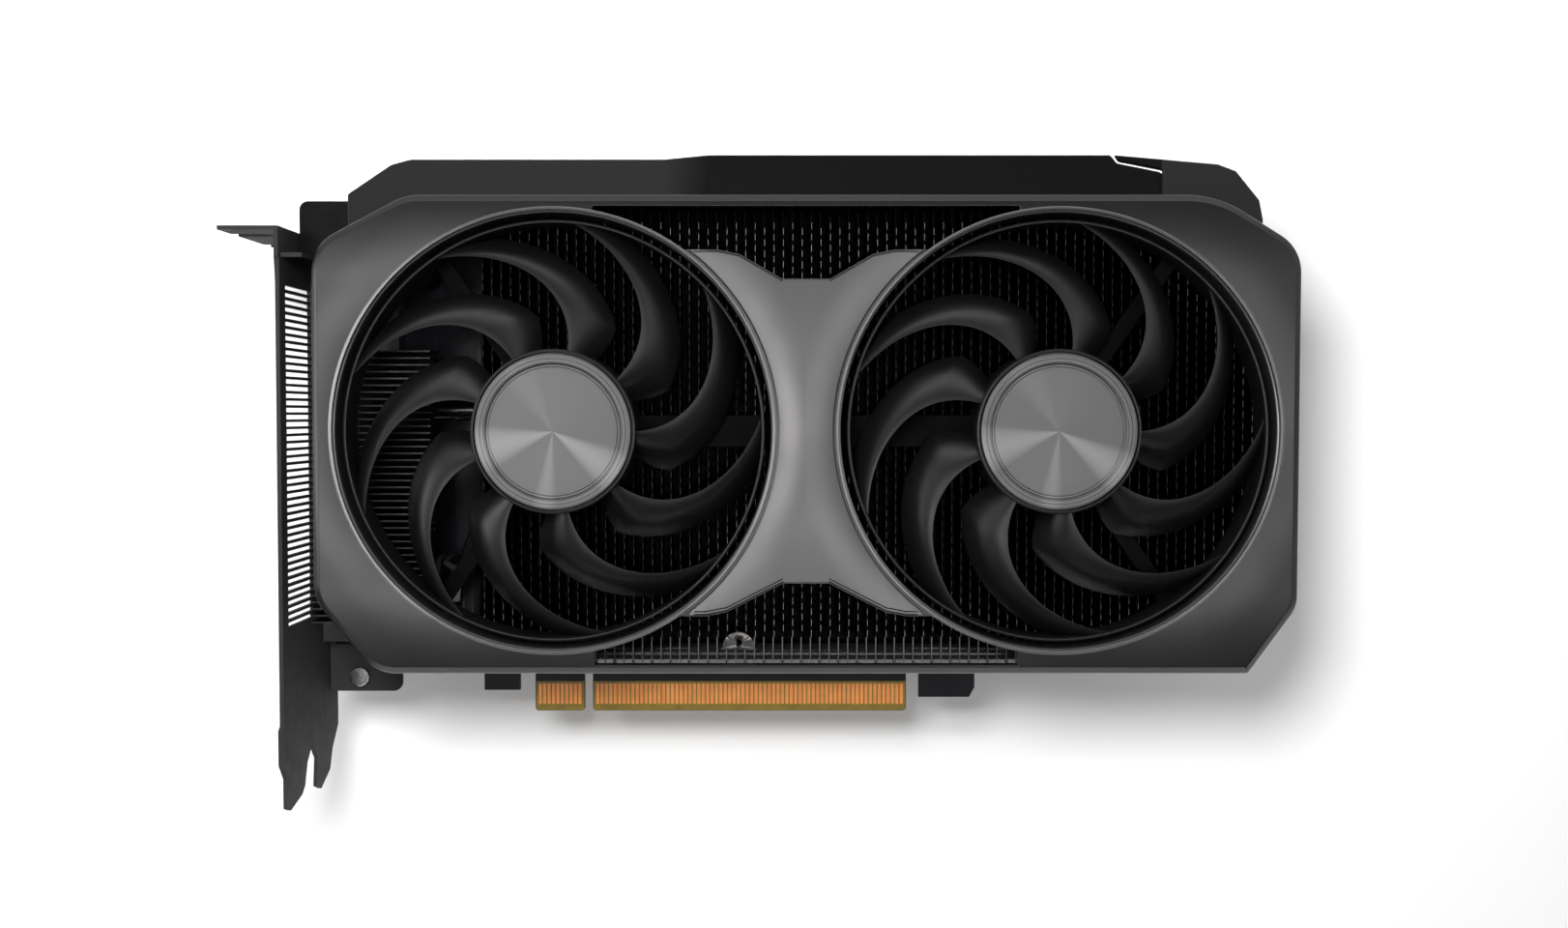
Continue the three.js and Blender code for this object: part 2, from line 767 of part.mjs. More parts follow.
// ---------------------------------------------------------------- fans
// the swept blade: its sharp front edge leads round the hub as the radius grows
function blade(index) {
  const rows = 5;
  const steps = 3;
  const rootR = HUB_R - 0.7;
  const tipR = ROTOR_R - ROTOR_RING / 2;
  const frontY = -32.2;
  const drop = 6.2;
  const thickness = 1.1;
  const positions = [];
  const faces = [];
  const round = 2 * (steps + 1);
  for (let row = 0; row <= rows; row++) {
    const radius = rootR + ((tipR - rootR) * row) / rows;
    const out = Math.max(radius - HUB_R, 0);
    const lead = THREE.MathUtils.degToRad(40 + index * (360 / BLADES) + 0.3 * out + 0.055 * out * out);
    const chord = (5.5 + 5.5 * Math.min(1, out / 8)) / radius;
    for (let point = 0; point < round; point++) {
      const onFront = point <= steps;
      const share = (onFront ? point : round - 1 - point) / steps;
      const angle = lead - chord * share;
      const y = frontY + drop * share ** 1.7 + (onFront ? 0 : thickness);
      positions.push(radius * Math.cos(angle), y, radius * Math.sin(angle));
    }
  }
  for (let row = 0; row < rows; row++) {
    for (let point = 0; point < round; point++) {
      const a = row * round + point;
      const b = row * round + ((point + 1) % round);
      faces.push(a, b, a + round, b, b + round, a + round);
    }
  }
  const lastRow = rows * round;
  for (let point = 0; point < steps; point++) {
    const opposite = round - 1 - point;
    faces.push(point, opposite, point + 1, point + 1, opposite, opposite - 1);
    faces.push(lastRow + point, lastRow + point + 1, lastRow + opposite);
    faces.push(lastRow + point + 1, lastRow + opposite - 1, lastRow + opposite);
  }
  const geometry = new THREE.BufferGeometry();
  geometry.setAttribute("position", new THREE.Float32BufferAttribute(positions, 3));
  geometry.setIndex(faces);
  return geometry;
}

function fanRotor() {
  const recess = HUB_FRONT + 1;
  const shell = turned([
    [0, recess],
    [16.3, recess],
    [16.3, HUB_FRONT],
    [HUB_R, HUB_FRONT],
    [HUB_R, ROTOR_BACK],
    [15.4, ROTOR_BACK],
    [15.4, -32],
    [1.35, -32],
    [1.35, -32.4],
    [0, -32.4],
  ], 30);
  const ring = turned([
    [ROTOR_R - ROTOR_RING, -32.8],
    [ROTOR_R, -32.8],
    [ROTOR_R, ROTOR_BACK],
    [ROTOR_R - ROTOR_RING, ROTOR_BACK],
  ], FAN_SIDES);
  const blades = Array.from({ length: BLADES }, (_, index) => blade(index));
  return join(shell, ring, ...blades);
}

const hubCap = () => turned([
  [0, -34.3],
  [13.2, -34.1],
  [14, -34.4],
  [15.7, -34.5],
  [16, -34.2],
  [16, HUB_FRONT + 0.7],
  [0, HUB_FRONT + 0.7],
], 32);

const tubeAlongY = (inner, outer, y0, y1, sides = 16) =>
  turned([[inner, y0], [outer, y0], [outer, y1], [inner, y1]], sides);

// the motor's carrier: a plate on thin arms, with one wide arm that carries the lead
function fanBase(wideAngle, thinAngles) {
  const arm = (angle, half) => box(10, DUCT_R + 1, BASE_FRONT, BASE_BACK, -half, half)
    .rotateY(-THREE.MathUtils.degToRad(angle));
  return join(
    plate(circle(0, 0, HUB_R + 0.3, 32), BASE_FRONT, BASE_BACK),
    arm(wideAngle, 3.3),
    ...thinAngles.map((angle) => arm(angle, 1.6)),
  );
}

function stator() {
  return turned([
    [3.9, -30.7],
    [11, -30.7],
    [11, -29.4],
    [13.2, -29.4],
    [13.2, -26.6],
    [11, -26.6],
    [11, -25.2],
    [3.9, -25.2],
  ], 18);
}

function addFan(label, side, wideAngle, thinAngles) {
  const fan = new THREE.Group();
  fan.position.set(fanX(side), 0, FAN_Z);
  card.add(fan);
  addNode(`${label}_fan_rotor`, fanRotor(), FAN_BLACK, fan);
  addNode(`${label}_hub_cap`, hubCap(), SPUN_ALUMINIUM, fan);
  addNode(`${label}_fan_magnet`, tubeAlongY(13.7, 15.1, -31.7, -25.2, 24), PLATED_STEEL, fan);
  addNode(`${label}_fan_shaft`, plate(circle(0, 0, 1.05, 16), -32.1, -24.5), PLATED_STEEL, fan);
  addNode(`${label}_fan_bearing`, tubeAlongY(1.35, 3.6, -30.8, BASE_FRONT - GAP), COPPER, fan);
  addNode(`${label}_fan_stator`, stator(), WINDING, fan);
  addNode(`${label}_fan_base`, fanBase(wideAngle, thinAngles), BLACK_PLASTIC, fan);
}

// ---------------------------------------------------------------- fan leads
const LEAD_R = 0.7;
const LEAD_Y = -21.15;
const onFan = (side, radius, angle) => {
  const turn = THREE.MathUtils.degToRad(angle);
  return [fanX(side) + radius * Math.cos(turn), LEAD_Y, FAN_Z + radius * Math.sin(turn)];
};
// the last stretch, from the fan side back to the plug's top
const intoPlug = (x) => [
  [x, LEAD_Y + 0.6, 35.4],
  [x, -17.5, 36.2],
  [x, -10, 36],
  [x, -6.2, 34],
  [x, -5.4, 30.1],
];

const leftLead = () => bar([
  onFan(-1, 10, 235),
  onFan(-1, 24, 235),
  onFan(-1, 32, 235),
  [-61.2, LEAD_Y, 34.4],
  ...intoPlug(-64.2),
], LEAD_R, 26, 6);

const rightLead = () => bar([
  onFan(1, 10, 180),
  onFan(1, 30, 180),
  onFan(1, 46, 180),
  [10.6, LEAD_Y, 62],
  ...[-10, -25, -40, -55, -70, -85, -100, -110].map((angle) => onFan(-1, 45.2, angle)),
  [-61.4, LEAD_Y, 20.6],
  [-65.3, LEAD_Y, 24],
  [-66.1, LEAD_Y, 30],
  ...intoPlug(-66.1),
], LEAD_R, 48, 6);

// ---------------------------------------------------------------- screws
// a pan-head screw along y, from the two faces of its head to its tip
function screw(x, z, headR, [headStart, headEnd], tipY) {
  const shank = tipY > headEnd ? [headEnd - 0.1, tipY] : [tipY, headStart + 0.1];
  return join(along(x, z, headR, headStart, headEnd, 14), along(x, z, 1.15, ...shank, 8));
}

// ---------------------------------------------------------------- assembly
addNode("front_shroud", frontShroud(), SATIN_GREY);
addNode("centre_trim", centreTrim(), SILVER);
addNode("top_cover", topCover(), BLACK_PLASTIC);
addNode("top_cover_end", topCoverEnd(), BLACK_PLASTIC);
addNode("mid_frame", midFrame(), BLACK_PLASTIC);
addNode("backplate", backplate(), BLACK_STEEL);
addNode("io_bracket", ioBracket(), BLACK_STEEL);
addNode("circuit_board", board(), BOARD_MASK);
addNode("power_socket", powerSocket(), BLACK_PLASTIC);
SOCKET_Z.forEach((z, index) => {
  addNode(`display_socket_${index + 1}`, displaySocket(z, index < 3 ? 7.6 : 7), PLATED_STEEL);
});

addNode("gpu_package", onBoard(CHIP_X, CHIP_Z, 42, 42, 1.2), BOARD_MASK);
addNode("gpu_die", box(CHIP_X - 13, CHIP_X + 13, -3.1, -2.58, CHIP_Z - 10, CHIP_Z + 10), SILICON);
[-33, 45].flatMap((x) => [52, 70].map((z) => [x, z])).forEach(([x, z], index) => {
  addNode(`memory_chip_${index + 1}`, onBoard(x, z, 12, 14, 1.1), CHIP);
});
[42, 53, 64].forEach((z, index) => {
  addNode(`power_choke_${index + 1}`, onBoard(-48.5, z, 7, 7, 3.6), CHIP);
});
[38, 48].forEach((z, index) => {
  addNode(`capacitor_${index + 1}`, along(66, z, 2.6, -4.7, BOARD_FRONT - GAP, 14), PLATED_STEEL);
});

addNode("cold_plate", coldPlate(), COPPER);
addNode("lower_heat_pipe", lowerPipe(), COPPER);
addNode("left_heat_pipe", flatPipe([[32, 62], [0, 62], [-40, 62], [-58, 68], [-76.4, 68]]), COPPER);
addNode("right_heat_pipe", flatPipe([[-22, 74], [0, 74], [50, 74], [76, 84], [86, 86]]), COPPER);
addNode("main_fin_stack", mainFins(), FIN_ALUMINIUM);
addNode("end_fin_block", endFins(), FIN_ALUMINIUM);
addNode("clamp_plate", clampPlate(), BLACK_STEEL);

addFan("left", -1, 0, [125, 235]);
addFan("right", 1, 180, [55, 305]);
addNode("fan_header", box(-68, -61.2, -4.2, BOARD_FRONT - GAP, 22.4, 25.2), BLACK_PLASTIC);
addNode("fan_plug", box(-67.6, -62.2, -6.8, -3.2, 25.5, 29.8), WHITE_PLASTIC);
addNode("left_fan_lead", leftLead(), SLEEVE_BLACK);
addNode("right_fan_lead", rightLead(), SLEEVE_BLACK);

BACK_SCREWS.forEach(([x, z], index) => {
  const head = [PLATE_FRONT + 0.7, PLATE_BACK + 0.2];
  addNode(`backplate_screw_${index + 1}`, screw(x, z, 2.3, head, -6), PLATED_STEEL);
});
CLAMP_SCREWS.forEach(([x, z], index) => {
  addNode(`spring_screw_${index + 1}`, screw(x, z, 2.6, [2.3, PLATE_BACK], -4.6), PLATED_STEEL);
});
FLANGE_SCREWS.forEach(([x, z], index) => {
  addNode(`bracket_screw_${index + 1}`, screw(x, z, 2.2, [-3.6, -2.25], 1.6), PLATED_STEEL);
});

export default card;
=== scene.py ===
"""Dual-fan graphics card. Shapes are worked out in millimetres and stored in metres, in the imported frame:
+X runs along the card away from the slot bracket, the fans face -Y, and +Z points away from the edge
connector."""

import itertools
import json
import math

import bmesh
import bpy
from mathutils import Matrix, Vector


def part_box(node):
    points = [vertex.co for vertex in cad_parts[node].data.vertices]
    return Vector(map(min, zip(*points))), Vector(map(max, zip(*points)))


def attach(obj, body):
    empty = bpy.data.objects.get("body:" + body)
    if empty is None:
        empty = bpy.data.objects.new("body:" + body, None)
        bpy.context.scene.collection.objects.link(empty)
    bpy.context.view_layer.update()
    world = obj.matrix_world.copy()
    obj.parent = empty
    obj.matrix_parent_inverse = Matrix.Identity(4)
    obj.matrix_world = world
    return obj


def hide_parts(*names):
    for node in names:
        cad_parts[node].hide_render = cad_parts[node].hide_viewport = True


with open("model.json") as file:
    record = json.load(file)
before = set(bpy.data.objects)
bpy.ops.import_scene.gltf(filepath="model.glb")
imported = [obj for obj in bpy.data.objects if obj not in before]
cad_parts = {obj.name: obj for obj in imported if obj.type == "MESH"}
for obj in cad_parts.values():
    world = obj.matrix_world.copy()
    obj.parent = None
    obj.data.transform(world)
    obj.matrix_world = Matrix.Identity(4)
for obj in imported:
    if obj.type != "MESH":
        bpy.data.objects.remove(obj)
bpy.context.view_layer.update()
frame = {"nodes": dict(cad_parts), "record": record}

MM = 0.001


def box_mm(node):
    """The lowest and highest corner of a CAD node, in millimetres."""
    low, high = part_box(node)
    return low / MM, high / MM


# ------------------------------------------------------------------ places, from the frame
shroud_low, shroud_high = box_mm("front_shroud")
LEFT, RIGHT = shroud_low.x, shroud_high.x
BOTTOM, TOP = shroud_low.z, shroud_high.z
cap_boxes = {side: box_mm(f"{side}_hub_cap") for side in ("left", "right")}
FAN_X = {side: (low.x + high.x) / 2 for side, (low, high) in cap_boxes.items()}
FAN_Z = (cap_boxes["left"][0].z + cap_boxes["left"][1].z) / 2
MIDDLE = (FAN_X["left"] + FAN_X["right"]) / 2
board_low, board_high = box_mm("circuit_board")
stack_low, stack_high = box_mm("main_fin_stack")
block_low, block_high = box_mm("end_fin_block")
FIN_FRONT, FIN_BACK = stack_low.y, stack_high.y

# ------------------------------------------------------------------ driving dimensions
SHROUD_FRONT = -34.5
SHROUD_PLATE = 2.2
SHROUD_WALL = 1.2
SKIRT_BACK = shroud_high.y
OPENING_R = 44.6
DUCT_R = 45.75
DUCT_BACK = -24.2
HUB_R = 16.9
HUB_FRONT = -34.2
ROTOR_R = 43.3
ROTOR_FRONT = -32.8
ROTOR_BACK = -24.6
BLADES = 9
ROUND = 144  # steps round a fan-sized circle


# ------------------------------------------------------------------ outlines, as lists of (u, v)
def polar(radius, degrees):
    angle = math.radians(degrees)
    return radius * math.cos(angle), radius * math.sin(angle)


def rounded(corners, steps=10):
    """A closed outline from corners (u, v, radius)."""
    outline = []
    count = len(corners)
    for index, (u, v, radius) in enumerate(corners):
        corner = Vector((u, v))
        if radius == 0:
            outline.append((u, v))
            continue
        back = (Vector(corners[index - 1][:2]) - corner).normalized()
        ahead = (Vector(corners[(index + 1) % count][:2]) - corner).normalized()
        half = back.angle(ahead) / 2
        middle = corner + (back + ahead).normalized() * (radius / math.sin(half))
        start = corner + back * (radius / math.tan(half)) - middle
        end = corner + ahead * (radius / math.tan(half)) - middle
        sweep = math.atan2(start.x * end.y - start.y * end.x, start.dot(end))
        for step in range(steps + 1):
            turn = sweep * step / steps
            outline.append((
                middle.x + start.x * math.cos(turn) - start.y * math.sin(turn),
                middle.y + start.x * math.sin(turn) + start.y * math.cos(turn),
            ))
    return outline


def area(points):
    pairs = zip(points, points[1:] + points[:1])
    return sum(u * next_v - next_u * v for (u, v), (next_u, next_v) in pairs) / 2


def anticlockwise(points):
    return list(points) if area(points) > 0 else list(reversed(points))


def offset(points, distance):
    """An anticlockwise outline moved outwards by distance, point for point."""
    moved = []
    count = len(points)
    for index, (u, v) in enumerate(points):
        here = Vector((u, v))
        before = (here - Vector(points[index - 1])).normalized()
        after = (Vector(points[(index + 1) % count]) - here).normalized()
        normal_before = Vector((before.y, -before.x))
        normal_after = Vector((after.y, -after.x))
        both = normal_before + normal_after
        shift = both * (distance / max(1 + normal_before.dot(normal_after), 0.3))
        moved.append((u + shift.x, v + shift.y))
    return moved


def circle(u, v, radius, steps=ROUND):
    return [(u + x, v + y) for x, y in (polar(radius, 360 * step / steps) for step in range(steps))]


def arc(u, v, radius, start, end, steps):
    return [
        (u + x, v + y)
        for x, y in (polar(radius, start + (end - start) * step / steps) for step in range(steps + 1))
    ]


def mirrored(points):
    """Points given from the middle of the card, as they lie left of it, in reverse order."""
    return [(MIDDLE - u, v) for u, v in reversed(points)]


def housing():
    """The shroud's outline seen from the fan side."""
    return rounded([
        (LEFT, TOP - 10.4, 9),
        (LEFT + 19.5, TOP, 12),
        (RIGHT - 17.55, TOP, 22),
        (RIGHT, TOP - 10.9, 9),
        (RIGHT - 0.15, BOTTOM + 13.8, 7),
        (RIGHT - 10.2, BOTTOM, 1),
        (LEFT + 12.6, BOTTOM, 9),
        (LEFT, BOTTOM + 15.2, 9),
    ])


# half of the trim's upper and lower edge, from the neck out to the tip, from the card's middle
TRIM_LOW = [(4.8, 32.7), (16.3, 26.8), (20.5, 26.0)]
TRIM_TOP = [(4.9, 94.9), (13.6, 99.9), (18.0, 100.8)]
WINDOW_LOW_Z, WINDOW_TOP_Z = BOTTOM + 1.85, TOP - 2.5
WINDOW_END = 43.4  # how far each window's far corners are from the card's middle
WINDOW_R = DUCT_R - 0.1  # the windows run up to the wall round each opening


def duct_angle(z):
    """Where the wall round the left opening crosses height z, on the side of the card's middle."""
    return math.degrees(math.asin((z - FAN_Z) / WINDOW_R))


def window(edge, outer_z):
    """The opening above or below the trim, between the two ducts."""
    tip_z = edge[-1][1]
    last = math.degrees(math.acos((MIDDLE - WINDOW_END - FAN_X["left"]) / WINDOW_R))
    side = arc(FAN_X["left"], FAN_Z, WINDOW_R, duct_angle(tip_z), math.copysign(last, outer_z - FAN_Z), 16)
    side.append((MIDDLE - WINDOW_END, outer_z))
    right_side = [(2 * MIDDLE - u, v) for u, v in side]
    waist = mirrored(edge) + [(MIDDLE + u, v) for u, v in edge]
    return anticlockwise(waist + right_side + list(reversed(side)))


# ------------------------------------------------------------------ meshes
def grid_faces(bm, first, second, closed=True):
    count = len(first)
    for index in range(count if closed else count - 1):
        after = (index + 1) % count
        bm.faces.new((first[index], first[after], second[after], second[index]))


def edges_round(bm, ring):
    return [bm.edges.get(pair) or bm.edges.new(pair) for pair in zip(ring, ring[1:] + ring[:1])]


def fill(bm, rings):
    edges = [edge for ring in rings for edge in edges_round(bm, ring)]
    bmesh.ops.triangle_fill(bm, use_beauty=True, edges=edges)


def facing_y(u, v, depth):
    return u, depth, v


def facing_x(u, v, depth):
    return depth, u, v


ROLL_STEPS = 3


def rolled_rows(bm, points, front, back, roll, sign, place, back_roll=0.0):
    """Rows of vertices round an outline, over its rounded front edge and down to its back."""
    rows = []
    for step in range(ROLL_STEPS + 1):
        turn = math.pi / 2 * step / ROLL_STEPS
        inset = roll * (1 - math.sin(turn))
        depth = front + math.copysign(roll * (1 - math.cos(turn)), back - front)
        rows.append((offset(points, -sign * inset), depth))
    for step in range(ROLL_STEPS + 1):
        turn = math.pi / 2 * step / ROLL_STEPS
        inset = back_roll * (1 - math.cos(turn))
        depth = back - math.copysign(back_roll * (1 - math.sin(turn)), back - front)
        if back_roll or step == 0:
            rows.append((offset(points, -sign * inset), depth))
    return [[bm.verts.new(place(u, v, depth)) for u, v in row] for row, depth in rows]


def add_slab(bm, outer, holes, front, back, roll=0.2, hole_roll=0.15, place=facing_y, back_roll=0.0):
    """A plate with rounded front edges and any number of holes."""
    outlines = [(anticlockwise(outer), 1, roll)] + [(anticlockwise(hole), -1, hole_roll) for hole in holes]
    fronts, backs = [], []
    for points, sign, edge in outlines:
        rows = rolled_rows(bm, points, front, back, edge, sign, place, back_roll)
        for first, second in zip(rows, rows[1:]):
            grid_faces(bm, first, second)
        fronts.append(rows[0])
        backs.append(rows[-1])
    fill(bm, fronts)
    fill(bm, backs)


def add_turned(bm, profile, centre=(0.0, 0.0), steps=ROUND, closed=True):
    """A profile of (radius, y) turned round an axis along Y through centre (x, z)."""
    rows = []
    for radius, y in profile:
        if radius == 0:
            rows.append([bm.verts.new((centre[0], y, centre[1]))])
        else:
            rows.append([bm.verts.new((u, y, v)) for u, v in circle(*centre, radius, steps)])
    pairs = list(zip(rows, rows[1:]))
    if closed:
        pairs.append((rows[-1], rows[0]))
    for first, second in pairs:
        if len(first) == 1 and len(second) == 1:
            continue
        if len(first) == 1 or len(second) == 1:
            tip, ring = (first[0], second) if len(first) == 1 else (second[0], first)
            for one, other in zip(ring, ring[1:] + ring[:1]):
                bm.faces.new((tip, one, other))
        else:
            grid_faces(bm, first, second)


# the corners of a box are numbered with z changing fastest, then y, then x
BOX_FACES = ((0, 1, 3, 2), (4, 6, 7, 5), (0, 4, 5, 1), (2, 3, 7, 6), (0, 2, 6, 4), (1, 5, 7, 3))


def add_box(bm, low, high):
    corners = [bm.verts.new(corner) for corner in itertools.product(*zip(low, high))]
    for face in BOX_FACES:
        bm.faces.new([corners[index] for index in face])


BEVEL_SEGMENTS = 2


def finish_object(name, bm, material, smooth=38, bevel=0.0):
    """Turns a mesh in millimetres into a smooth-shaded object in metres."""
    bmesh.ops.recalc_face_normals(bm, faces=bm.faces)
    bmesh.ops.scale(bm, vec=(MM, MM, MM), verts=bm.verts)
    mesh = bpy.data.meshes.new(name)
    bm.to_mesh(mesh)
    bm.free()
    mesh.polygons.foreach_set("use_smooth", [True] * len(mesh.polygons))
    mesh.set_sharp_from_angle(angle=math.radians(smooth))
    piece = bpy.data.objects.new(name, mesh)
    bpy.context.scene.collection.objects.link(piece)
    mesh.materials.append(material)
    if bevel:
        modifier = piece.modifiers.new("edges", "BEVEL")
        modifier.width = bevel * MM
        modifier.segments = BEVEL_SEGMENTS
        modifier.limit_method = "ANGLE"
        modifier.angle_limit = math.radians(smooth)
        modifier.harden_normals = False
    weighted = piece.modifiers.new("normals", "WEIGHTED_NORMAL")
    weighted.keep_sharp = True
    return piece


def add_piece(name, bm, material, nodes, body="card", slot=None, **options):
    """A finished piece that stands for CAD nodes and rides on a body."""
    piece = finish_object(name, bm, material, **options)
    if nodes:
        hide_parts(*nodes)
    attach(piece, body)
    return piece


SLOTS = {part["node"]: part["material_slot"] for part in frame["record"]["subparts"]}
BODIES = frame["record"]["behaviour"]["bodies"]


def body_of(node):
    return next(body for body, nodes in BODIES.items() if node in nodes)


def refined(node, material, bevel, smooth):
    """A CAD node's own shape with its vertices joined, soft edges and smooth round faces."""
    bm = bmesh.new()
    bm.from_mesh(frame["nodes"][node].data)
    bmesh.ops.scale(bm, vec=(1 / MM,) * 3, verts=bm.verts)
    bmesh.ops.remove_doubles(bm, verts=bm.verts, dist=0.002)
    bmesh.ops.dissolve_limit(bm, angle_limit=math.radians(1), verts=bm.verts, edges=bm.edges)
    return add_piece(
        f"{node}_shell", bm, material, [node], body_of(node), SLOTS[node],
        bevel=bevel, smooth=smooth,
    )


# ------------------------------------------------------------------ materials
def grey(value):
    return value, value, value, 1.0


def scaled(colour, factor):
    return tuple(min(channel * factor, 1.0) for channel in colour[:3]) + (1.0,)


class Surface:
    """A Principled material built up in steps: colour variation, roughness, bump, and worn edges that also
    carry a painted highlight.
    """

    def __init__(self, name, colour, roughness, metallic=0.0, coordinates="Object"):
        self.material = bpy.data.materials.new(name)
        self.material.use_nodes = True
        self.nodes = self.material.node_tree.nodes
        self.links = self.material.node_tree.links
        self.shader = self.nodes["Principled BSDF"]
        self.shader.inputs["Metallic"].default_value = metallic
        self.shader.inputs["Roughness"].default_value = roughness
        self.shader.inputs["Base Color"].default_value = colour
        self.place = self.nodes.new("ShaderNodeTexCoord").outputs[coordinates]
        self.colour = None
        self.base = colour
        self.height = None

    def noise(self, size, detail=3.0, stretch=None):
        """Noise whose features are about size millimetres across, from 0 to 1."""
        node = self.nodes.new("ShaderNodeTexNoise")
        node.inputs["Scale"].default_value = 1 / (size * MM)
        node.inputs["Detail"].default_value = detail
        place = self.place
        if stretch:
            mapping = self.nodes.new("ShaderNodeMapping")
            mapping.inputs["Scale"].default_value = stretch
            self.links.new(place, mapping.inputs["Vector"])
            place = mapping.outputs["Vector"]
        self.links.new(place, node.inputs["Vector"])
        return node.outputs["Fac"]

    def math(self, operation, *values):
        node = self.nodes.new("ShaderNodeMath")
        node.operation = operation
        for socket, value in zip(node.inputs, values):
            if isinstance(value, (int, float)):
                socket.default_value = value
            else:
                self.links.new(value, socket)
        return node.outputs["Value"]

    def axis(self, name):
        """Millimetres along one axis of the card."""
        node = self.nodes.new("ShaderNodeSeparateXYZ")
        self.links.new(self.place, node.inputs["Vector"])
        return self.math("DIVIDE", node.outputs[name], MM)

    def from_axis(self, x, z):
        """Millimetres from an axis along Y."""
        across = self.math("SUBTRACT", self.axis("X"), x)
        up = self.math("SUBTRACT", self.axis("Z"), z)
        squares = self.math("ADD", self.math("MULTIPLY", across, across), self.math("MULTIPLY", up, up))
        return self.math("SQRT", squares)

    def ranged(self, value, low, high, start=0.3, end=0.7):
        node = self.nodes.new("ShaderNodeMapRange")
        node.inputs["From Min"].default_value = start
        node.inputs["From Max"].default_value = end
        node.inputs["To Min"].default_value = low
        node.inputs["To Max"].default_value = high
        self.links.new(value, node.inputs["Value"])
        return node.outputs["Result"]

    def mixed(self, factor, first, second):
        node = self.nodes.new("ShaderNodeMix")
        node.data_type = "RGBA"
        self.links.new(factor, node.inputs["Factor"])
        for socket, value in (("A", first), ("B", second)):
            target = next(i for i in node.inputs if i.name == socket and i.type == "RGBA")
            if isinstance(value, tuple):
                target.default_value = value
            else:
                self.links.new(value, target)
        return next(o for o in node.outputs if o.type == "RGBA")

    def paint(self, factor, colour):
        """Lays colour over what is there, by factor."""
        self.colour = self.mixed(factor, self.colour or self.base, colour)
        return self

    def mottle(self, size, spread, detail=3.0):
        """Lighter and darker patches of about size millimetres."""
        factor = self.ranged(self.noise(size, detail), 0, 1)
        dark, light = scaled(self.base, 1 - spread), scaled(self.base, 1 + spread)
        self.colour = self.mixed(factor, dark, light)
        return self

    def rough(self, size, low, high):
        """Roughness that wanders between low and high over about size millimetres."""
        value = self.ranged(self.noise(size, 4.0), low, high)
        self.links.new(value, self.shader.inputs["Roughness"])
        return self

    def bump(self, value, depth, strength=1.0):
        """Adds relief of depth millimetres, from a value between 0 and 1."""
        node = self.nodes.new("ShaderNodeBump")
        node.inputs["Strength"].default_value = strength
        node.inputs["Distance"].default_value = depth * MM
        self.links.new(value, node.inputs["Height"])
        if self.height is not None:
            self.links.new(self.height, node.inputs["Normal"])
        self.height = node.outputs["Normal"]
        return self

    def grain(self, size, depth):
        return self.bump(self.noise(size, 2.0), depth)

    def worn_edges_and_highlight(self, colour, amount=0.5, width=0.25):
        """Paler edges about width millimetres wide: partly rubbed by handling, partly a painted highlight
        along the edge.
        """
        softened = self.nodes.new("ShaderNodeBevel")
        softened.samples = 4
        softened.inputs["Radius"].default_value = width * MM
        turned = self.nodes.new("ShaderNodeVectorMath")
        turned.operation = "DOT_PRODUCT"
        self.links.new(softened.outputs["Normal"], turned.inputs[0])
        self.links.new(self.nodes.new("ShaderNodeNewGeometry").outputs["Normal"], turned.inputs[1])
        # painted highlight and wear: the edges are painted paler
        return self.paint(self.ranged(turned.outputs["Value"], amount, 0, 0.8, 0.99), colour)

    def done(self):
        if self.colour is not None:
            self.links.new(self.colour, self.shader.inputs["Base Color"])
        if self.height is not None:
            self.links.new(self.height, self.shader.inputs["Normal"])
        return self.material


def moulding(name, value, roughness, grain=0.25, depth=0.006, spread=0.12, sheen=0.25):
    """Moulded plastic with a fine spark-eroded grain."""
    surface = Surface(name, grey(value), roughness)
    surface.shader.inputs["Specular IOR Level"].default_value = sheen
    surface.mottle(9, spread).rough(4, roughness * (1 - spread), roughness * (1 + spread))
    return surface.grain(grain, depth)


def moulded(*look, **detail):
    return moulding(*look, **detail).done()


COVER_RAMP = (-17.1, -7.8)
COVER_SEAM_X = 86.4
COVER_SEAM_STEP = 0.2  # half of the width over which the lean changes at the seam
COVER_LEAN = 0.15
COVER_TOP = TOP + 8  # the lean is measured down from here


def cover_plastic():
    """The cover's front leans back a little left of its ramp, and again past its seam, and is painted lighter
    there as painted light.
    """
    surface = moulding("cover_plastic", 0.002, 0.42, grain=0.3, depth=0.002, spread=0.03, sheen=0.14)
    along = surface.axis("X")
    left = surface.ranged(along, 1, 0, *COVER_RAMP)
    right = surface.ranged(along, 0, 1, COVER_SEAM_X - COVER_SEAM_STEP, COVER_SEAM_X + COVER_SEAM_STEP)
    leaning_painted_lighter = surface.math("ADD", left, right)
    # painted light: the parts that lean back are painted lighter, as if they caught more light
    surface.paint(leaning_painted_lighter, grey(0.014))
    lean = surface.math("MULTIPLY", leaning_painted_lighter, COVER_LEAN)
    height = surface.math("MULTIPLY", lean, surface.math("SUBTRACT", COVER_TOP, surface.axis("Z")))
    return surface.bump(height, 1.0).done()


def plated(name, colour, roughness, spread=0.08, metallic=1.0):
    """Plated or bare metal with faint scuffs."""
    surface = Surface(name, colour, roughness, metallic)
    surface.mottle(5, spread).rough(1.5, roughness * 0.75, roughness * 1.3)
    return surface.grain(0.4, 0.002).done()


FLARE_WIDTH = 8.5


def nearest_fan(surface):
    """Millimetres from the nearer fan's axis."""
    return surface.math("MINIMUM", *[surface.from_axis(x, FAN_Z) for x in FAN_X.values()])


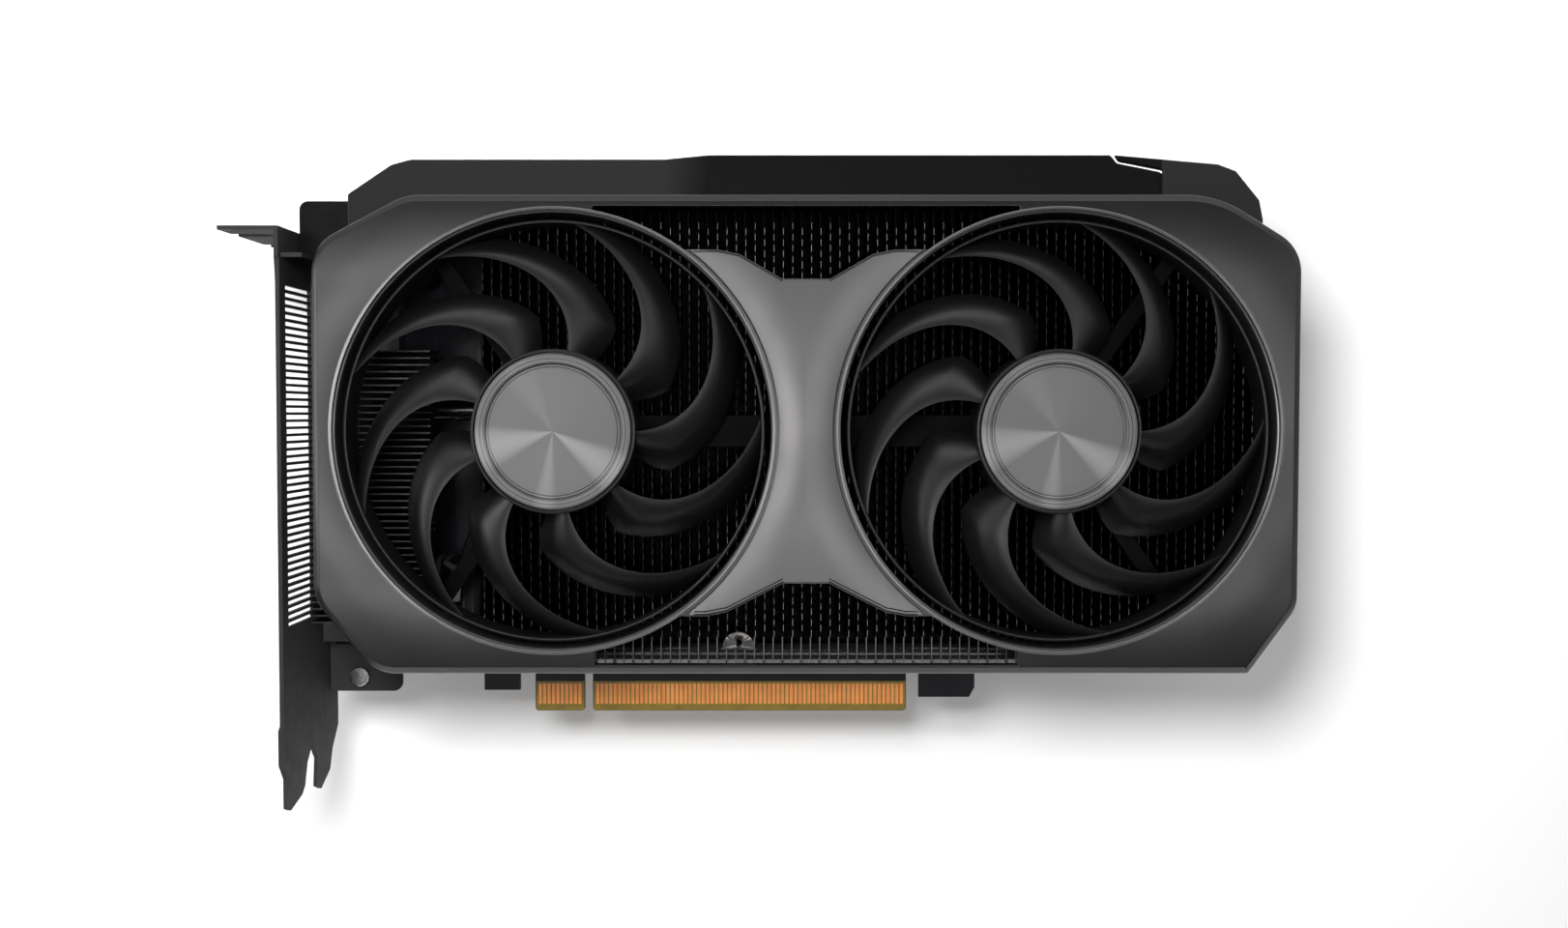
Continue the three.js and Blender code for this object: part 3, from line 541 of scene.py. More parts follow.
def flare(surface, drop):
    """The face rolls down a little towards the sides of the lip round each fan opening."""
    nearest = nearest_fan(surface)
    offsets = [
        surface.math("ABSOLUTE", surface.math("SUBTRACT", surface.axis("X"), x)) for x in FAN_X.values()
    ]
    sideways = surface.math("DIVIDE", surface.math("MINIMUM", *offsets), nearest)
    share = surface.ranged(nearest, 1, 0, DUCT_R, DUCT_R + FLARE_WIDTH)
    roll = surface.math("MULTIPLY", surface.math("POWER", share, 2.0), surface.math("POWER", sideways, 2.0))
    return surface.bump(surface.math("SUBTRACT", 1.0, roll), drop)


def levelled(surface, share):
    """A share from 0 to 1 that comes level at 1."""
    rest = surface.math("SUBTRACT", 1.0, share)
    return surface.math("SUBTRACT", 1.0, surface.math("POWER", rest, 2.0))


def crown(surface, end_drop, edge_drop):
    """The face falls away a little towards its two ends and its long edges."""
    end_reach, edge_reach = 26, 16
    half_long, half_high = (RIGHT - LEFT) / 2, (TOP - BOTTOM) / 2
    across = surface.math("ABSOLUTE", surface.math("SUBTRACT", surface.axis("X"), MIDDLE))
    up = surface.math("ABSOLUTE", surface.math("SUBTRACT", surface.axis("Z"), (TOP + BOTTOM) / 2))
    ends = surface.ranged(across, 1, 0, half_long - end_reach, half_long)
    edges = surface.ranged(up, 1, 0, half_high - edge_reach, half_high)
    surface.bump(levelled(surface, ends), end_drop)
    return surface.bump(levelled(surface, edges), edge_drop)


def satin_paint():
    surface = Surface("satin_grey_paint", (0.07, 0.07, 0.07, 1), 0.34, metallic=0.95)
    surface.shader.inputs["Specular IOR Level"].default_value = 0.2
    surface.mottle(38, 0.05, 2.0).rough(12, 0.33, 0.36)
    flare(surface, 0.6)
    crown(surface, 0.3, 0.9)
    # painted highlight: the lip and the wall inside it are painted a lighter grey
    lip = surface.ranged(nearest_fan(surface), 1, 0, DUCT_R - 0.03, DUCT_R + 0.03)
    surface.paint(lip, grey(0.22))
    return surface.worn_edges_and_highlight(grey(0.2), 0.4).grain(0.16, 0.002).done()


def silver_paint():
    surface = Surface("silver_paint", (0.152, 0.148, 0.149, 1), 0.34, metallic=0.95)
    surface.mottle(30, 0.03, 2.0).rough(14, 0.32, 0.36)
    flare(surface, 1.0)
    return surface.worn_edges_and_highlight(grey(0.55), 0.3).grain(0.14, 0.002).done()


def bracket_paint():
    surface = Surface("bracket_paint", grey(0.026), 0.5, metallic=0.1)
    surface.shader.inputs["Specular IOR Level"].default_value = 0.2
    surface.mottle(14, 0.14).rough(3, 0.62, 0.72)
    return surface.worn_edges_and_highlight(grey(0.09), 0.3).grain(0.22, 0.008).done()


CAP_R = 16.0
GROOVE_PITCH = 0.42
# each painted highlight on the hub, a bright fan: its middle and half width in degrees, and its strength
HUB_PAINTED_HIGHLIGHTS = ((194, 20, 0.3), (-33, 19, 0.32), (-97, 10, 0.16), (120, 18, 0.06))


def hub_metal():
    """Aluminium turned on a lathe: fine rings, and painted highlights as bright fans, where the cutting marks
    would catch light.
    """
    surface = Surface("spun_aluminium", grey(0.27), 0.5, metallic=1.0, coordinates="Generated")
    surface.shader.inputs["Anisotropic"].default_value = 0.2
    tangent = surface.nodes.new("ShaderNodeTangent")
    tangent.direction_type = "RADIAL"
    tangent.axis = "Y"
    surface.links.new(tangent.outputs["Tangent"], surface.shader.inputs["Tangent"])
    split = surface.nodes.new("ShaderNodeSeparateXYZ")
    surface.links.new(surface.place, split.inputs["Vector"])
    # generated coordinates run from 0 to 1 across the cap, so its middle is at a half
    across = surface.math("SUBTRACT", split.outputs["X"], 0.5)
    up = surface.math("SUBTRACT", split.outputs["Z"], 0.5)
    squares = surface.math("ADD", surface.math("MULTIPLY", across, across), surface.math("MULTIPLY", up, up))
    distance = surface.math("SQRT", squares)
    rings = surface.math("SINE", surface.math("MULTIPLY", distance, 2 * math.pi * 2 * CAP_R / GROOVE_PITCH))
    surface.bump(surface.ranged(rings, 0, 1, -1, 1), 0.006)
    angle = surface.math("ARCTAN2", up, across)
    # painted highlights: bright fans painted into the metal's colour
    for degrees, half_width, strength in HUB_PAINTED_HIGHLIGHTS:
        turned = surface.math("COSINE", surface.math("SUBTRACT", angle, math.radians(degrees)))
        painted_highlight = surface.ranged(turned, 0, strength, math.cos(math.radians(half_width)), 1)
        surface.paint(painted_highlight, grey(0.95))
    return surface.done()


def fin_edges():
    """The folded fin edges: bare in the windows, and painted darker behind the fans as painted shade."""
    surface = Surface("fin_edge", grey(0.42), 0.45, metallic=0.6)
    surface.mottle(5, 0.08).rough(1.5, 0.34, 0.58)
    # painted shade: the edges darken towards the fans' axes, where the blades shade them
    surface.paint(surface.ranged(nearest_fan(surface), 0.85, 0, ROTOR_R - 5, DUCT_R), grey(0.02))
    return surface.grain(0.4, 0.002).done()


SATIN = satin_paint()
SILVER = silver_paint()
BRACKET = bracket_paint()
HUB_METAL = hub_metal()
BLACK = moulded("black_plastic", 0.003, 0.42)
COVER = cover_plastic()
FRAME = moulded("frame_plastic", 0.003, 0.5, sheen=0.15)
BASE = moulded("fan_base_plastic", 0.0015, 0.6, sheen=0.08)
SLEEVE = moulded("wire_sleeve", 0.01, 0.6, grain=0.5, depth=0.03)
# painted shade: the white plug's plastic is made grey, for the shade deep inside the card
SHADED_WHITE = moulded("white_plastic", 0.2, 0.4, grain=0.3, depth=0.006, spread=0.05)
CHIP = moulded("chip_resin", 0.018, 0.55, grain=0.12, depth=0.008)
BLADE = moulded("blade_plastic", 0.003, 0.42, grain=0.12, depth=0.001, spread=0.08, sheen=0.8)
FIN_SIDE = plated("fin_side", (0.008, 0.008, 0.008, 1), 0.5)
# painted shade: a darker copy of the fin edge finish for the fins' lower ends
SHADED_LOW_EDGE = plated("low_fin_edge", (0.12, 0.12, 0.12, 1), 0.45, metallic=0.6)
# painted shade: a darker copy of the fin edge finish for the end fin block
SHADED_END_EDGE = plated("end_fin_edge", (0.035, 0.035, 0.035, 1), 0.5, metallic=0.6)
FIN_EDGE = fin_edges()
NICKEL = plated("nickel", (0.11, 0.106, 0.103, 1), 0.22, metallic=0.95)
COPPER = plated("copper", (0.6, 0.27, 0.14, 1), 0.35)
PLATED = plated("plated_steel", (0.5, 0.5, 0.51, 1), 0.28)
ZINC = plated("socket_steel", (0.2, 0.2, 0.205, 1), 0.45)
SILICON = plated("silicon", (0.12, 0.14, 0.18, 1), 0.16)
WINDING = plated("winding", (0.42, 0.17, 0.07, 1), 0.38)


def board_mask():
    surface = Surface("board_mask", (0.005, 0.0055, 0.008, 1), 0.38)
    surface.shader.inputs["Specular IOR Level"].default_value = 0.2
    surface.mottle(6, 0.25, 4.0).rough(3, 0.33, 0.45)
    traces = surface.ranged(surface.noise(1.4, 0.0, (1, 1, 0.12)), 0, 1, 0.45, 0.55)
    surface.bump(traces, 0.02, 0.5)
    return surface.done()


def gold():
    surface = Surface("gold_contact", (0.78, 0.28, 0.075, 1), 0.4, metallic=0.35)
    surface.mottle(3, 0.12).rough(1, 0.28, 0.42)
    return surface.grain(0.3, 0.003).done()


def edge_resin():
    """The connector's bare laminate between and round its contacts."""
    surface = Surface("edge_laminate", (0.2, 0.138, 0.013, 1), 0.45, metallic=0.1)
    surface.mottle(2, 0.15).rough(1, 0.4, 0.55)
    return surface.grain(0.25, 0.006).done()


MASK = board_mask()
GOLD = gold()
LAMINATE = edge_resin()


# ------------------------------------------------------------------ shroud
# the side wall stops short beside the bracket, and along most of the bottom
END_GAP_X, END_GAP_LOW, END_GAP_TOP, END_GAP_BACK = -74.0, 14.5, 92.0, -31.0
LOW_GAP_Z, LOW_GAP_END, LOW_GAP_BACK = 20, 101.5, -27.0


def skirt_back(x, z):
    """How far back the shroud's side wall reaches at a point of its outline."""
    if x < END_GAP_X and END_GAP_LOW < z < END_GAP_TOP:
        return END_GAP_BACK
    if z < LOW_GAP_Z and x < LOW_GAP_END:
        return LOW_GAP_BACK
    return SKIRT_BACK


def with_stations(outline):
    """The outline with a pair of close points added wherever the side wall's depth steps."""
    stations = [("x", LOW_GAP_END), ("z", END_GAP_TOP), ("x", END_GAP_X)]
    clear, half_step = 0.05, 1e-4
    dense = []
    for (u, v), (next_u, next_v) in zip(outline, outline[1:] + outline[:1]):
        dense.append((u, v))
        shares = []
        for axis, value in stations:
            start, end = (u, next_u) if axis == "x" else (v, next_v)
            if min(start, end) + clear < value < max(start, end) - clear:
                share = (value - start) / (end - start)
                shares += [share - half_step, share + half_step]
        for share in sorted(shares):
            dense.append((u + (next_u - u) * share, v + (next_v - v) * share))
    return dense


# the chamfer round the shroud's face, as distances in from the outline and back from the face
SHROUD_EDGE = [(1.6, 0.0), (1.52, 0.01), (1.44, 0.05), (0.4, 0.72), (0.18, 0.95), (0.05, 1.25), (0.0, 1.7)]


def build_shroud():
    bm = bmesh.new()
    outline = with_stations(anticlockwise(housing()))
    holes = [circle(FAN_X[side], FAN_Z, OPENING_R + 0.55) for side in FAN_X]
    upper = window(TRIM_TOP, WINDOW_TOP_Z)
    lower = window(TRIM_LOW, WINDOW_LOW_Z)
    back = SHROUD_FRONT + SHROUD_PLATE
    outer_rows = [
        [bm.verts.new((u, SHROUD_FRONT + drop, v)) for u, v in offset(outline, -inset)]
        for inset, drop in SHROUD_EDGE
    ]
    rim = [bm.verts.new((u, skirt_back(u, v), v)) for u, v in outline]
    inside = offset(outline, -SHROUD_WALL)
    inner_rim = [bm.verts.new((u, skirt_back(*outline[i]), v)) for i, (u, v) in enumerate(inside)]
    inner_top = [bm.verts.new((u, back, v)) for u, v in inside]
    rows = [*outer_rows, rim, inner_rim, inner_top]
    for first, second in zip(rows, rows[1:]):
        grid_faces(bm, first, second)
    fronts, backs = [rows[0]], [inner_top]
    for points, roll in [(hole, 0.0) for hole in holes] + [(upper, 0.12), (lower, 0.12)]:
        hole_rows = rolled_rows(bm, anticlockwise(points), SHROUD_FRONT, back, roll, -1, facing_y)
        for first, second in zip(hole_rows, hole_rows[1:]):
            grid_faces(bm, first, second)
        fronts.append(hole_rows[0])
        backs.append(hole_rows[-1])
    fill(bm, fronts)
    fill(bm, backs)
    for side in FAN_X:
        add_duct(bm, FAN_X[side])
    add_piece("front_shroud_shell", bm, SATIN, ["front_shroud"], slot="satin_shroud", smooth=24)


def add_duct(bm, x):
    """The wall round a fan, with its stepped lip; the shroud's paint makes the lip bright as a painted
    highlight.
    """
    lip = SHROUD_FRONT - 0.2
    profile = [
        (DUCT_R, SHROUD_FRONT + 0.3),
        (DUCT_R, lip + 0.25),
        (DUCT_R - 0.08, lip + 0.08),
        (DUCT_R - 0.22, lip),
        (OPENING_R + 0.52, lip),
        (OPENING_R + 0.4, lip + 0.1),
        (OPENING_R + 0.36, lip + 0.9),
        (OPENING_R + 0.12, lip + 1.0),
        (OPENING_R, lip + 1.2),
        (OPENING_R, DUCT_BACK),
        (DUCT_R, DUCT_BACK),
    ]
    add_turned(bm, profile, (x, FAN_Z))


def hourglass():
    """The trim: its edges, and its sides along the two ducts."""
    tip_reach, tip_rise = 24.6, 0.5
    radius = DUCT_R + 0.3
    low_z, top_z = TRIM_LOW[-1][1], TRIM_TOP[-1][1]
    left_x, right_x = MIDDLE - tip_reach, MIDDLE + tip_reach
    low = math.degrees(math.asin((low_z + tip_rise - FAN_Z) / radius))
    top = math.degrees(math.asin((top_z - tip_rise - FAN_Z) / radius))
    left = [(u, v) for u, v in arc(FAN_X["left"], FAN_Z, radius, low, top, 40) if u > left_x]
    right = [(2 * MIDDLE - u, v) for u, v in reversed(left)]
    return [
        *mirrored(TRIM_LOW),
        *[(MIDDLE + u, v) for u, v in TRIM_LOW],
        (right_x, low_z),
        *reversed(right),
        (right_x, top_z),
        *[(MIDDLE + u, v) for u, v in reversed(TRIM_TOP)],
        *[(MIDDLE - u, v) for u, v in TRIM_TOP],
        (left_x, top_z),
        *reversed(left),
        (left_x, low_z),
    ]


def build_trim():
    bm = bmesh.new()
    low, high = box_mm("centre_trim")
    add_slab(bm, hourglass(), [], low.y, high.y, roll=0.35)
    add_piece("centre_trim_plate", bm, SILVER, ["centre_trim"], slot="silver_trim")


def build_trim_groove_shade():
    """Painted shade: dark bands that stand for grooves along the trim's sloping edges, a pair below, one
    above.
    """
    low, _ = box_mm("centre_trim")
    front = low.y - 0.02
    bm = bmesh.new()
    tip_x = TRIM_LOW[-1][0] + 2.2
    below = [*TRIM_LOW, (tip_x, TRIM_LOW[-1][1])]
    above = [*TRIM_TOP, (tip_x, TRIM_TOP[-1][1])]
    for edge, up, insets in ((below, 1, (0.4, 1.0)), (above, -1, (0.45,))):
        for inset in insets:
            for sign in (-1, 1):
                add_groove_shade(bm, [(MIDDLE + sign * x, z + up * inset) for x, z in edge], front)
    add_piece("trim_groove_shade", bm, BLACK, [], slot="black_plastic")


def add_groove_shade(bm, path, front):
    """A thin dark band along a path of (x, z), as painted groove shade."""
    half, depth = 0.13, 0.3
    for (x0, z0), (x1, z1) in zip(path, path[1:]):
        along = Vector((x1 - x0, z1 - z0)).normalized()
        side = Vector((-along.y, along.x)) * half
        ends = [Vector((x0, z0)) - along * half, Vector((x1, z1)) + along * half]
        corners = [ends[0] - side, ends[1] - side, ends[1] + side, ends[0] + side]
        add_slab(bm, [tuple(corner) for corner in corners], [], front, front + depth, roll=0.0)


# ------------------------------------------------------------------ fans
BLADE_ROWS = 26
BLADE_STEPS = 14
BLADE_FRONT = -32.2
BLADE_DROP = 6.2


def add_blade(bm, x, index):
    """One swept blade: a sharp raised edge in front, falling away behind it."""
    thickness = 1.0
    root, tip = HUB_R - 0.6, ROTOR_R - 0.5
    first_angle = 40
    sweep, more_sweep = 0.3, 0.055  # degrees per millimetre out, and per square millimetre
    root_chord, full_chord, widening = 5.5, 11.0, 8
    rows = []
    for row in range(BLADE_ROWS + 1):
        radius = root + (tip - root) * row / BLADE_ROWS
        out = max(radius - HUB_R, 0)
        lead = first_angle + index * 360 / BLADES + sweep * out + more_sweep * out * out
        chord = math.degrees((root_chord + (full_chord - root_chord) * min(1, out / widening)) / radius)
        front, back = [], []
        for step in range(BLADE_STEPS + 1):
            share = step / BLADE_STEPS
            u, v = polar(radius, lead - chord * share)
            drop = BLADE_FRONT + BLADE_DROP * share**1.7
            # thinner towards both edges
            thin = thickness * min(1, 0.45 + share * 3, 0.4 + (1 - share) * 4)
            front.append(bm.verts.new((x + u, drop, FAN_Z + v)))
            back.append(bm.verts.new((x + u, drop + thin, FAN_Z + v)))
        rows.append(front + list(reversed(back)))
    for first, second in zip(rows, rows[1:]):
        grid_faces(bm, first, second)
    bm.faces.new(rows[0])
    bm.faces.new(rows[-1])


def build_rotor(side):
    bm = bmesh.new()
    x = FAN_X[side]
    rim = 0.35
    seat_r, seat_y = CAP_R + 0.2, HUB_FRONT + 1  # the recess that holds the cap
    cup_r, cup_y = 15.4, -32  # the hollow that holds the motor
    add_turned(bm, [
        (0, seat_y),
        (seat_r, seat_y),
        (seat_r, HUB_FRONT + 0.25),
        (seat_r + 0.15, HUB_FRONT),
        (HUB_R - rim, HUB_FRONT),
        (HUB_R - 0.1, HUB_FRONT + 0.1),
        (HUB_R, HUB_FRONT + rim),
        (HUB_R, ROTOR_BACK),
        (cup_r, ROTOR_BACK),
        (cup_r, cup_y),
        (0, cup_y),
    ], (x, FAN_Z), closed=False)
    ring_in = ROTOR_R - 0.75
    add_turned(bm, [
        (ring_in, ROTOR_FRONT + 0.3),
        (ring_in + 0.15, ROTOR_FRONT + 0.06),
        (ring_in + 0.35, ROTOR_FRONT),
        (ROTOR_R - 0.35, ROTOR_FRONT),
        (ROTOR_R - 0.1, ROTOR_FRONT + 0.1),
        (ROTOR_R, ROTOR_FRONT + 0.35),
        (ROTOR_R, ROTOR_BACK),
        (ring_in, ROTOR_BACK),
    ], (x, FAN_Z))
    for index in range(BLADES):
        add_blade(bm, x, index)
    add_piece(f"{side}_rotor_blades", bm, BLADE, [f"{side}_fan_rotor"], f"{side}_fan", "fan_black")


def build_hub_cap(side):
    """The turned disc: a slightly dished face, a bevelled moat, and two fine grooves in its rim."""
    bm = bmesh.new()
    low, high = cap_boxes[side]
    face = low.y
    profile = [(0, face + 0.16)]
    profile += [(radius, face + 0.16 + 0.0009 * radius * radius) for radius in (3, 6, 9, 11.5, 12.9)]
    profile += [
        (13.15, face + 0.34),
        (13.3, face + 0.52),
        (13.62, face + 0.52),
        (13.85, face + 0.12),
        (14.02, face + 0.06),
        (14.08, face + 0.16),
        (14.16, face + 0.16),
        (14.22, face + 0.04),
        (14.78, face + 0.02),
        (14.84, face + 0.13),
        (14.92, face + 0.13),
        (14.98, face),
        (15.65, face),
        (15.9, face + 0.1),
        (CAP_R, face + 0.35),
        (CAP_R, high.y),
        (0, high.y),
    ]
    add_turned(bm, profile, (FAN_X[side], FAN_Z), closed=False)
    body = f"{side}_fan"
    add_piece(f"{side}_hub_disc", bm, HUB_METAL, [f"{side}_hub_cap"], body, "spun_aluminium", smooth=30)


# ------------------------------------------------------------------ cooler
FIN_PITCH = 2.0
FIN_THICK = 0.3
BACK_SHEET = 0.5  # thickness of the sheet that joins the fins behind
NOTCH_TOP = 19.6  # the lower pipe runs in a notch across the fins, up to this height


def fin_places(end):
    """The number and x of each main fin that starts before end."""
    x = stack_low.x
    index = 0
    while x < end:
        yield index, x
        x += FIN_PITCH
        index += 1


def fin_limits(x):
    """The lowest and highest point of a fin at x: it follows the housing's corners."""
    inside = offset(anticlockwise(housing()), -SHROUD_WALL - 0.4)
    heights = []
    for (u, v), (next_u, next_v) in zip(inside, inside[1:] + inside[:1]):
        if (u - x) * (next_u - x) < 0:
            heights.append(v + (next_v - v) * (x - u) / (next_u - u))
    low, high = min(heights), min(max(heights), stack_high.z)
    return (stack_low.z if x < board_high.x else max(low, stack_low.z)), high


def build_main_fins():
    plates, tabs = bmesh.new(), bmesh.new()
    notch_front = -14.2
    tab_pitch, tab_height, tab_width, tab_depth = 2.35, 1.35, 0.36, 0.25
    for index, x in fin_places(stack_high.x - FIN_THICK):
        low, high = fin_limits(x)
        above_notch = low > NOTCH_TOP - 2
        section = [(FIN_BACK, low), (FIN_BACK, high), (FIN_FRONT, high)]
        if above_notch:
            section += [(FIN_FRONT, low)]
        else:
            section += [(FIN_FRONT, NOTCH_TOP), (notch_front, NOTCH_TOP), (notch_front, low)]
        add_slab(plates, section, [], x, x + FIN_THICK, roll=0.0, place=facing_x)
        start = low + 1 + (index % 2) * tab_pitch / 2
        for step in range(int((high - start - tab_height) / tab_pitch)):
            z = start + step * tab_pitch
            if z > NOTCH_TOP - 1 or above_notch:
                add_box(tabs, (x, FIN_FRONT, z), (x + tab_width, FIN_FRONT + tab_depth, z + tab_height))
    sheet_end = 97
    sheet_low = (stack_low.x, FIN_BACK - BACK_SHEET, stack_low.z + 0.3)
    add_box(plates, sheet_low, (sheet_end, FIN_BACK, stack_high.z - 0.3))
    add_piece("main_fins", plates, FIN_SIDE, ["main_fin_stack"], slot="fin_aluminium")
    add_piece("main_fin_tabs", tabs, FIN_EDGE, ["main_fin_stack"], slot="fin_aluminium")


def build_lower_fin_ends():
    """The fins' lower ends, which pass in front of the pipe, with a foot under every other one."""
    ends = bmesh.new()
    foot_z = stack_low.z + 0.4
    for index, x in fin_places(board_high.x):
        add_box(ends, (x, FIN_FRONT, stack_low.z + 1.0), (x + 0.22, FIN_FRONT + 0.45, NOTCH_TOP))
        if index % 2 == 0:
            add_box(ends, (x - 0.25, FIN_FRONT, foot_z), (x + 0.55, FIN_FRONT + 0.4, foot_z + 1.3))
    add_piece("fin_lower_ends", ends, SHADED_LOW_EDGE, ["main_fin_stack"], slot="fin_aluminium")


def build_pipe_tab():
    """The pipe's half-round mounting tab."""
    tab = bmesh.new()
    x, z, radius, foot = -1.9, 17.4, 3.4, 0.8
    outline = arc(x, z, radius, 0, 180, 24)
    outline += [(x - radius - foot, z - 0.6), (x + radius + foot, z - 0.6)]
    hole = circle(x, z + 1.0, 0.75, 24)
    add_slab(tab, outline, [hole], FIN_FRONT - 0.15, FIN_FRONT + 0.3, roll=0.1, hole_roll=0.08)
    add_piece("pipe_tab", tab, NICKEL, ["lower_heat_pipe"], slot="nickel")


def build_end_fins():
    plates, edges = bmesh.new(), bmesh.new()
    pitch, thick = 1.45, 0.28
    fold, proud = 0.03, 0.02  # how far a folded edge reaches past its fin's sides, and past its front
    count = int((block_high.z - block_low.z) / pitch) + 1
    long_count = 22
    short_left = -87.2
    for index in range(count):
        z = block_low.z + index * pitch
        left = block_low.x if index < long_count else short_left
        add_box(plates, (left, FIN_FRONT, z), (block_high.x, FIN_BACK, z + thick))
        add_box(edges, (left, FIN_FRONT - proud, z - fold), (block_high.x, FIN_FRONT + 0.2, z + thick + fold))
    sheet_low = (short_left + 1, FIN_BACK - BACK_SHEET, block_low.z + 0.1)
    add_box(plates, sheet_low, (block_high.x - 1, FIN_BACK, block_high.z - 0.1))
    add_piece("end_fins", plates, FIN_SIDE, ["end_fin_block"], slot="fin_aluminium")
    add_piece("end_fin_edges", edges, SHADED_END_EDGE, ["end_fin_block"], slot="fin_aluminium")


# ------------------------------------------------------------------ board
def connector_outline(left, right, bottom, top, cut):
    """One section of the connector, with its lower corners cut."""
    return [
        (left, top),
        (left, bottom + cut),
        (left + cut, bottom),
        (right - cut, bottom),
        (right, bottom + cut),
        (right, top),
    ]


EDGE_HALF = 35.55
KEY_LEFT, SHORT_LEFT = -37.45, -48.6
GOLD_TOP = 6.85


def build_connector():
    """The connector's laminate skin and its contacts, just over the board's own faces."""
    skin = 0.04
    laminate, contacts = bmesh.new(), bmesh.new()
    front, back = board_low.y - skin, board_high.y + skin
    for left, right in ((SHORT_LEFT, KEY_LEFT), (-EDGE_HALF, EDGE_HALF)):
        outline = connector_outline(left - skin, right + skin, -skin, GOLD_TOP, 0.5)
        add_slab(laminate, outline, [], front, back, roll=0.25, back_roll=0.25)
    pitch, width = 1.0, 0.7
    low, high = 1.55, 6.2
    for left, right in ((SHORT_LEFT, KEY_LEFT), (-EDGE_HALF, EDGE_HALF)):
        count = int((right - left - 0.3) / pitch)
        start = (left + right) / 2 - (count - 1) * pitch / 2
        for index in range(count):
            x = start + index * pitch - width / 2
            for y0, y1 in ((front - skin, front + 0.02), (back - 0.02, back + skin)):
                add_box(contacts, (x, y0, low), (x + width, y1, high))
    add_piece("connector_laminate", laminate, LAMINATE, [], slot="board_mask")
    add_piece("connector_contacts", contacts, GOLD, [], slot="copper")


def build_seam_backing():
    """The tongue behind the upright seam between the top cover and its end piece."""
    bm = bmesh.new()
    cover_low, _ = box_mm("top_cover_end")
    front = cover_low.y + 0.9
    half, thick, height = 1.2, 0.6, 5.5
    add_box(bm, (COVER_SEAM_X - half, front, TOP), (COVER_SEAM_X + half, front + thick, TOP + height))
    add_piece("cover_seam_tongue", bm, COVER, [], slot="black_plastic", bevel=0.1)


# ------------------------------------------------------------------ everything that keeps its CAD shape
def build_refined():
    materials = {
        "mid_frame": (FRAME, 0.25),
        "io_bracket": (BRACKET, 0.1),
        "backplate": (BRACKET, 0.25),
        "circuit_board": (MASK, 0.06),
        "power_socket": (BLACK, 0.15),
        "top_cover": (COVER, 0.3),
        "top_cover_end": (COVER, 0.3),
        "gpu_package": (MASK, 0.1),
        "gpu_die": (SILICON, 0.05),
        "cold_plate": (COPPER, 0.15),
        "clamp_plate": (PLATED, 0.12),
        "fan_header": (BLACK, 0.15),
        "fan_plug": (SHADED_WHITE, 0.25),
        "left_fan_lead": (SLEEVE, 0),
        "right_fan_lead": (SLEEVE, 0),
        "lower_heat_pipe": (NICKEL, 0),
        "left_heat_pipe": (NICKEL, 0),
        "right_heat_pipe": (NICKEL, 0),
    }
    prefixes = {
        "display_socket": (ZINC, 0.12),
        "memory_chip": (CHIP, 0.12),
        "power_choke": (CHIP, 0.3),
        "capacitor": (PLATED, 0.3),
        "backplate_screw": (PLATED, 0.12),
        "spring_screw": (PLATED, 0.12),
        "bracket_screw": (PLATED, 0.15),
    }
    endings = {
        "fan_magnet": (ZINC, 0.1),
        "fan_shaft": (PLATED, 0.1),
        "fan_bearing": (COPPER, 0.1),
        "fan_stator": (WINDING, 0.2),
        "fan_base": (BASE, 0.2),
    }
    for node in SLOTS:
        found = materials.get(node)
        found = found or next((look for start, look in prefixes.items() if node.startswith(start)), None)
        found = found or next((look for end, look in endings.items() if node.endswith(end)), None)
        if found:
            material, bevel = found
            smooth = 50 if bevel == 0 or node.endswith("_shaft") else 38
            refined(node, material, bevel, smooth)


# ------------------------------------------------------------------ stage
def sheet_mesh(name, corners, material):
    """A flat sheet of one face."""
    mesh = bpy.data.meshes.new(name)
    mesh.from_pydata(corners, [], [(0, 1, 2, 3)])
    mesh.materials.append(material)
    return mesh


FLOOR_Z = -63 * MM


def build_stage():
    """A pale floor below the card and a pale backdrop behind it, which is seen only from the front."""
    wall_y = 30 * MM
    reach = 2.4
    half, top = 1.5, 1.2
    pale = Surface("pale_stage", grey(0.9), 0.9)
    pale.mottle(120, 0.01)
    transparent = pale.nodes.new("ShaderNodeBsdfTransparent")
    facing = pale.nodes.new("ShaderNodeNewGeometry").outputs["Backfacing"]
    mix = pale.nodes.new("ShaderNodeMixShader")
    output = pale.nodes["Material Output"]
    pale.links.new(facing, mix.inputs["Fac"])
    pale.links.new(pale.shader.outputs["BSDF"], mix.inputs[1])
    pale.links.new(transparent.outputs["BSDF"], mix.inputs[2])
    pale.links.new(mix.outputs["Shader"], output.inputs["Surface"])
    material = pale.done()

    wall_corners = ((-half, FLOOR_Z), (half, FLOOR_Z), (half, top), (-half, top))
    sheets = {
        "floor": [(x * reach, y * reach, FLOOR_Z) for x, y in ((-1, -1), (1, -1), (1, 1), (-1, 1))],
        "backdrop": [(x, wall_y, z) for x, z in wall_corners],
    }
    stage = []
    for name, corners in sheets.items():
        stage.append(bpy.data.objects.new(name, sheet_mesh(name, corners, material)))
        bpy.context.scene.collection.objects.link(stage[-1])
    stage[0].visible_diffuse = False
    stage[1].visible_shadow = False


CENTRE = Vector((MIDDLE, 0, FAN_Z)) * MM
CAMERA_DISTANCE = 310.8  # from the shroud's face
CAMERA_PLACE = Vector((MIDDLE - 4.5, SHROUD_FRONT - CAMERA_DISTANCE, FAN_Z + 3.7)) * MM
CAMERA_PITCH = 1.9  # degrees down


